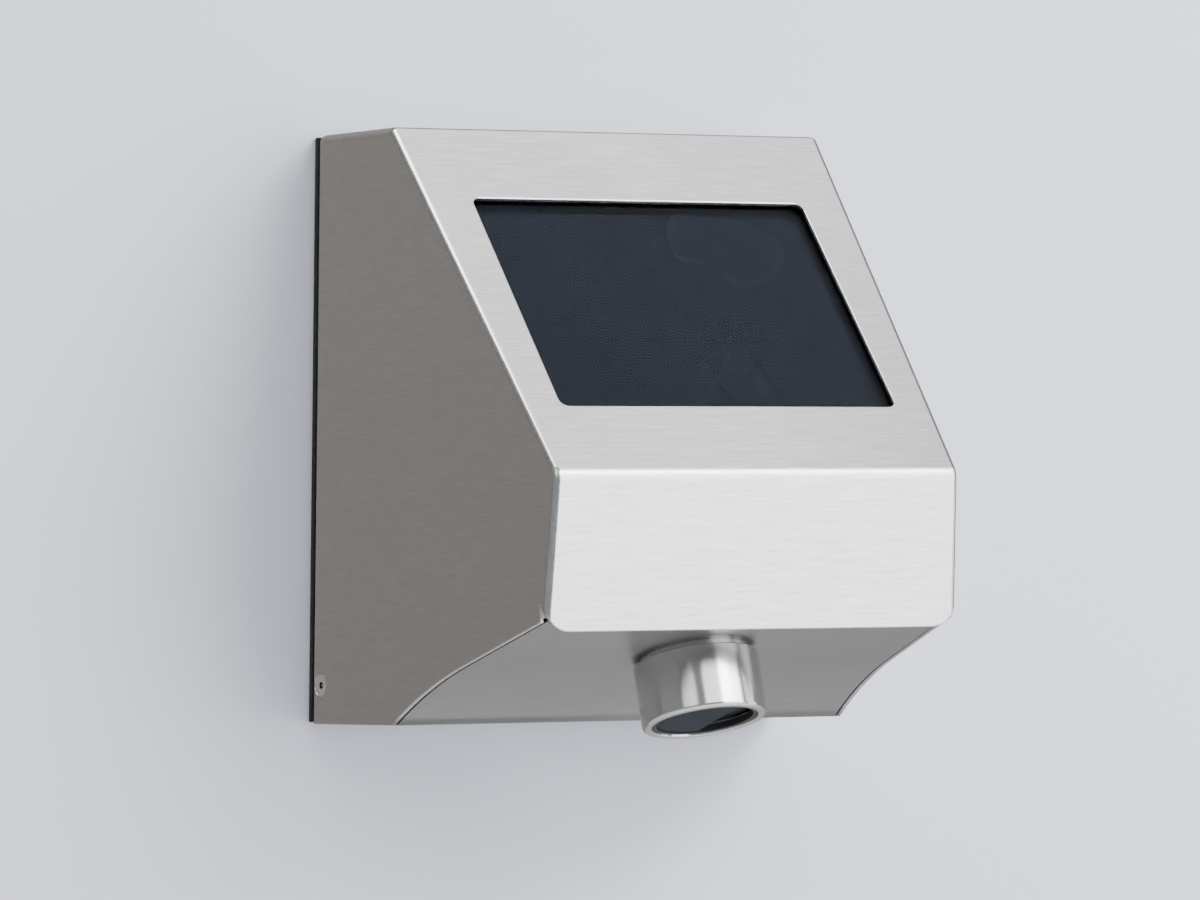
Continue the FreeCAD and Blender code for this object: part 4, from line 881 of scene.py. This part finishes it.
def display_finish():
    """A dark panel, switched off: black-blue, faintly cloudy, with a fine grain."""
    material, tree, surface = finish_of("display_face", (0.010, 0.012, 0.017), 0.22)
    cloud = grain(tree, 12, 2)
    tree.links.new(shade(tree, cloud, (0.008, 0.010, 0.014), (0.017, 0.021, 0.030)),
                   surface.inputs["Base Color"])
    tree.links.new(between(tree, cloud, 0.18, 0.30), surface.inputs["Roughness"])
    relief(tree, surface, grain(tree, 5200, 0), 0.000003, 0.2)
    surface.inputs["Specular IOR Level"].default_value = 0.12
    return material


deburred("display_seal", "hood", [foam_rubber], 0.0002)
deburred("cover_glass", "hood", [cover_glass_finish()], 0.0004)
deburred("lcd_panel", "hood", [display_finish()], 0.0005)
deburred("display_tray", "hood", [zinc], 0.0003)
deburred("display_studs", "hood", [bright], 0.0003)
deburred("tray_nuts", "hood", [bright], 0.0003)


# ---- Controller board ------------------------------------------------------------------------------
# A four-layer board on brass posts behind the tray, parts side out: processor under a finned
# aluminium sink, memory and driver chips, capacitors and a row of shrouded connectors.

def solder_mask():
    """Green mask over copper: traces show as slightly raised, lighter lines in two directions."""
    material, tree, surface = finish_of("solder_mask", (0.02, 0.13, 0.06), 0.3)
    place = add(tree, "TexCoord").outputs["Object"]
    weave = add(tree, "TexVoronoi", {"Vector": place, "Scale": 210.0}, distance="CHEBYCHEV",
                feature="F2").outputs["Distance"]
    trace = add(tree, "MapRange", {"Value": weave, "From Min": 0.55, "From Max": 0.60})
    tone = trace.outputs["Result"]
    tree.links.new(shade(tree, tone, (0.012, 0.085, 0.040), (0.030, 0.170, 0.080)),
                   surface.inputs["Base Color"])
    relief(tree, surface, tone, 0.00003, 0.4)
    surface.inputs["Coat Weight"].default_value = 0.4
    return material


def board_parts():
    """Chips with their legs, can capacitors and rows of small parts on the board's inner face."""
    place = slope_of("controller_board")
    half_x, _, half_z = flat_extent("controller_board", place)
    down = -half_z
    chip_height, chip_gap = 0.0016, 0.0003
    leg_out, leg_half_long, leg_half_wide, leg_height = 0.0006, 0.0007, 0.00015, 0.0009
    can_x, can_y, can_pitch, can_radius, can_height = -0.058, 0.040, 0.0095, 0.0034, 0.0058
    in_row, row_start, row_y, row_pitch = 13, 0.012, -0.026, 0.004
    small_pitch, small_long, small_wide, small_height = 0.0098, 0.0016, 0.0008, 0.0006
    parts = bmesh.new()

    def chip(x, y, wide, deep, legs):
        slab(parts, (x - wide / 2, y - deep / 2, down - chip_height),
             (x + wide / 2, y + deep / 2, down - chip_gap))
        for i in range(legs):
            at = x - wide / 2 + (i + 0.5) * wide / legs
            for side in (-1, 1):
                edge = y + side * (deep / 2 + leg_out)
                slab(parts, (at - leg_half_wide, edge - leg_half_long, down - leg_height),
                     (at + leg_half_wide, edge + leg_half_long, down), 1)

    chip(-0.042, 0.020, 0.014, 0.010, 12)
    chip(-0.042, -0.004, 0.012, 0.009, 10)
    chip(0.043, 0.024, 0.016, 0.009, 14)
    chip(0.040, -0.010, 0.008, 0.006, 6)
    chip(0.0, 0.034, 0.012, 0.008, 10)
    for i in range(4):
        spot = (can_x + can_pitch * i, can_y)
        rod(parts, (*spot, down), (*spot, down - can_height), can_radius, number=2)
    for i in range(2 * in_row):
        x = -half_x + row_start + (i % in_row) * small_pitch
        y = row_y - (i // in_row) * row_pitch
        slab(parts, (x, y, down - small_height), (x + small_long, y + small_wide, down),
             1 + i % 2)
    bmesh.ops.transform(parts, matrix=place, verts=parts.verts)
    return parts


def connector_pins():
    """A shroud's mouth, painted near-black as shade, and its pins, at each of the four connectors."""
    place = slope_of("controller_board")
    back = place.inverted()
    shroud, mouth_proud, mouth_sunk = 0.001, 0.00005, 0.0001
    pins, first_pin, pin_half, pin_proud = 5, 0.0025, 0.0003, 0.0002
    mouths = bmesh.new()
    spots = [back @ vertex.co for vertex in nodes["board_connectors"].data.vertices]
    sides = sorted({round(p.x, 4) for p in spots})
    tip = min(p.z for p in spots)
    near = min(p.y for p in spots)
    far = max(p.y for p in spots)
    middle = (near + far) / 2
    for left, right in zip(sides[0::2], sides[1::2]):
        slab(mouths, (left + shroud, near + shroud, tip - mouth_proud),
             (right - shroud, far - shroud, tip + mouth_sunk))
        for i in range(pins):
            at = left + first_pin + i * (right - left - 2 * first_pin) / (pins - 1)
            slab(mouths, (at - pin_half, middle - pin_half, tip - pin_proud),
                 (at + pin_half, middle + pin_half, tip), 1)
    bmesh.ops.transform(mouths, matrix=place, verts=mouths.verts)
    return mouths


cream_plastic = moulded("cream_plastic", (0.80, 0.78, 0.70))
deburred("controller_board", "hood", [solder_mask()], 0.0001)
fitted("board_parts", board_parts(), "hood", [black_plastic, bright, cast_cap],
       0.00006)
deburred("board_connectors", "hood", [cream_plastic], 0.0003)
fitted("connector_pins", connector_pins(), "hood", [painted_shade_inside[0], brass],
       0.00002)
deburred("board_posts", "hood", [brass], 0.0002)
deburred("board_screws", "hood", [bright], 0.0003)
deburred("heat_sink", "hood", [machined], 0.0002)


# ---- Spout: tube, turning collar, friction ring and guard ---------------------------------------
# A stainless tube is welded into the underside panel. A polished collar slides over its end and
# turns on it, dragged by a rubber ring. A press-in ring holds the smoked guard in the mouth.

def polished(name, colour, roughness):
    """Fine-polished stainless with the faintest turning lines round the spout's axis."""
    material, tree, surface = finish_of(name, colour, roughness, 1.0)
    smear = grain(tree, 70, 4)
    tree.links.new(between(tree, smear, roughness - 0.03, roughness + 0.05),
                   surface.inputs["Roughness"])
    tree.links.new(shade(tree, smear, tuple(c * 0.94 for c in colour), colour),
                   surface.inputs["Base Color"])
    relief(tree, surface, grain(tree, 2600, 2, (0.08, 0.08, 1)), 0.000003, 0.3)
    surface.inputs["Anisotropic"].default_value = 0.75
    surface.inputs["Anisotropic Rotation"].default_value = 0.25
    tangent = add(tree, "Tangent", direction_type="RADIAL", axis="Z")
    tree.links.new(tangent.outputs[0], surface.inputs["Tangent"])
    return material


def smoked():
    material, tree, surface = finish_of("smoked_guard", (0.045, 0.052, 0.062), 0.12)
    tree.links.new(shade(tree, grain(tree, 50, 3), (0.018, 0.021, 0.026), (0.034, 0.039, 0.047)),
                   surface.inputs["Base Color"])
    surface.inputs["IOR"].default_value = 1.05
    relief(tree, surface, grain(tree, 1500, 2), 0.000004, 0.3)
    return material


def spout_axis():
    """The mouth's middle and the axis of the spout, up into the hood."""
    swivel = [j for j in frame["joints"] if j["name"] == "spout_swivel"][0]
    return Vector(swivel["pos_m"]), Vector(swivel["axis"]).normalized()


def reach_about(node, middle, axis):
    """A node's inner and outer radius about the spout's axis, and its two ends along it."""
    spots = [v.co - middle for v in nodes[node].data.vertices]
    along = [p.dot(axis) for p in spots]
    radii = [(p - axis * a).length for p, a in zip(spots, along)]
    return min(radii), max(radii), min(along), max(along)


def make_spout():
    """The collar and the tube, turned about the spout's own axis."""
    middle, axis = spout_axis()
    steel = polished("polished_collar", (0.76, 0.745, 0.73), 0.19)
    inner, outer, low, high = reach_about("spout_collar", middle, axis)
    tube_in, tube_out, tube_low, tube_high = reach_about("spout_tube", middle, axis)
    guard_out = reach_about("guard_ring", middle, axis)[1]
    bore = tube_out + 0.00006
    mouth = guard_out + 0.00005
    lip, arc, sides = 0.0018, 6, 144
    ledge_low, ledge_high = 0.004, 0.0075
    large, small = 0.0006, 0.0003
    round_edge = [(outer - lip * (1 - math.sin(a)), low + lip * (1 - math.cos(a)))
                  for a in [math.pi / 2 * k / arc for k in range(arc + 1)]]
    collar = [(mouth, low + large), (mouth + large, low), *round_edge, (outer, high - large),
              (outer - large, high), (bore + small, high), (bore, high - small),
              (bore, ledge_high), (inner, ledge_high), (inner, ledge_low), (mouth, ledge_low)]
    attach(spun("polished_spout_collar", collar, middle, axis, sides), "spout_head",
           "polished_stainless", steel, "spout_collar")
    neck = polished("satin_neck", (0.62, 0.605, 0.59), 0.28)
    tube = eased([(tube_in, tube_low), (tube_out, tube_low), (tube_out, tube_high),
                  (tube_in, tube_high)], small)
    attach(spun("welded_spout_tube", tube, middle, axis, sides), "hood", "polished_stainless",
           neck, "spout_tube")


def face_or_edge(normal):
    """0 for the guard's two flat faces, 1 for its edge, light grey as a painted highlight."""
    return 1 if abs(normal.dot(spout_axis()[1])) < 0.9 else 0


make_spout()
deburred("collar_ring", "spout_head", [rubber], 0)
deburred("guard_ring", "spout_head", [black_plastic], 0.00015)
# The smoked guard's edge is light grey: a painted highlight along the edge.
guard_edge_painted_highlight = moulded("guard_edge_painted_highlight", (0.42, 0.43, 0.44))
deburred("guard_plate", "spout_head", [smoked(), guard_edge_painted_highlight], 0.0003,
         face_or_edge)


# ---- Ticket flap, its pin and spring; ticket chute --------------------------------------------------
# A ticket falls through the chute and the tube, and pushes the flap open; a light coil on the pin
# closes it. The chute is moulded in black, with a flange that rests on the tube's end.

def coil():
    """The flap's spring as its wire really runs: a close helix round the pin."""
    low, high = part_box("flap_spring")
    middle = (low + high) / 2
    long = max(range(3), key=lambda i: (high - low)[i])
    axis = spout_axis()[1].cross(Vector((1, 0, 0))).normalized()
    wire = 0.00028
    radius = (high.x - low.x) / 2 - wire / 2
    length = (high[long] - low[long]) * 0.93
    across = Vector((1, 0, 0))
    above = axis.cross(across)
    turns, points_a_turn = 9, 12
    line = bpy.data.curves.new("flap_coil", "CURVE")
    line.dimensions = "3D"
    line.bevel_depth = wire / 2
    line.bevel_resolution = 3
    spline = line.splines.new("NURBS")
    count = turns * points_a_turn
    spline.points.add(count - 1)
    for k in range(count):
        angle = 2 * math.pi * k / points_a_turn
        spot = (middle + axis * (k / (count - 1) - 0.5) * (length - wire)
                + across * radius * math.cos(angle) + above * radius * math.sin(angle))
        spline.points[k].co = (*spot, 1)
    spline.order_u = 4
    spline.use_endpoint_u = True
    drawn = bpy.data.objects.new("flap_coil_line", line)
    scene.collection.objects.link(drawn)
    bpy.context.view_layer.update()
    solid = drawn.evaluated_get(bpy.context.evaluated_depsgraph_get())
    mesh = bpy.data.meshes.new_from_object(solid)
    bpy.data.objects.remove(drawn)
    piece = bpy.data.objects.new("flap_coil", mesh)
    scene.collection.objects.link(piece)
    return attach(piece, "spout_head", "screw_steel", bright, "flap_spring")


flap_plastic = moulded("flap_plastic", (0.008, 0.008, 0.009), 0.35)
deburred("ticket_flap", "flap", [flap_plastic], 0.00015)
deburred("flap_pin", "spout_head", [bright], 0.0001)
coil()
deburred("ticket_chute", "hood", [black_plastic], 0.0004)
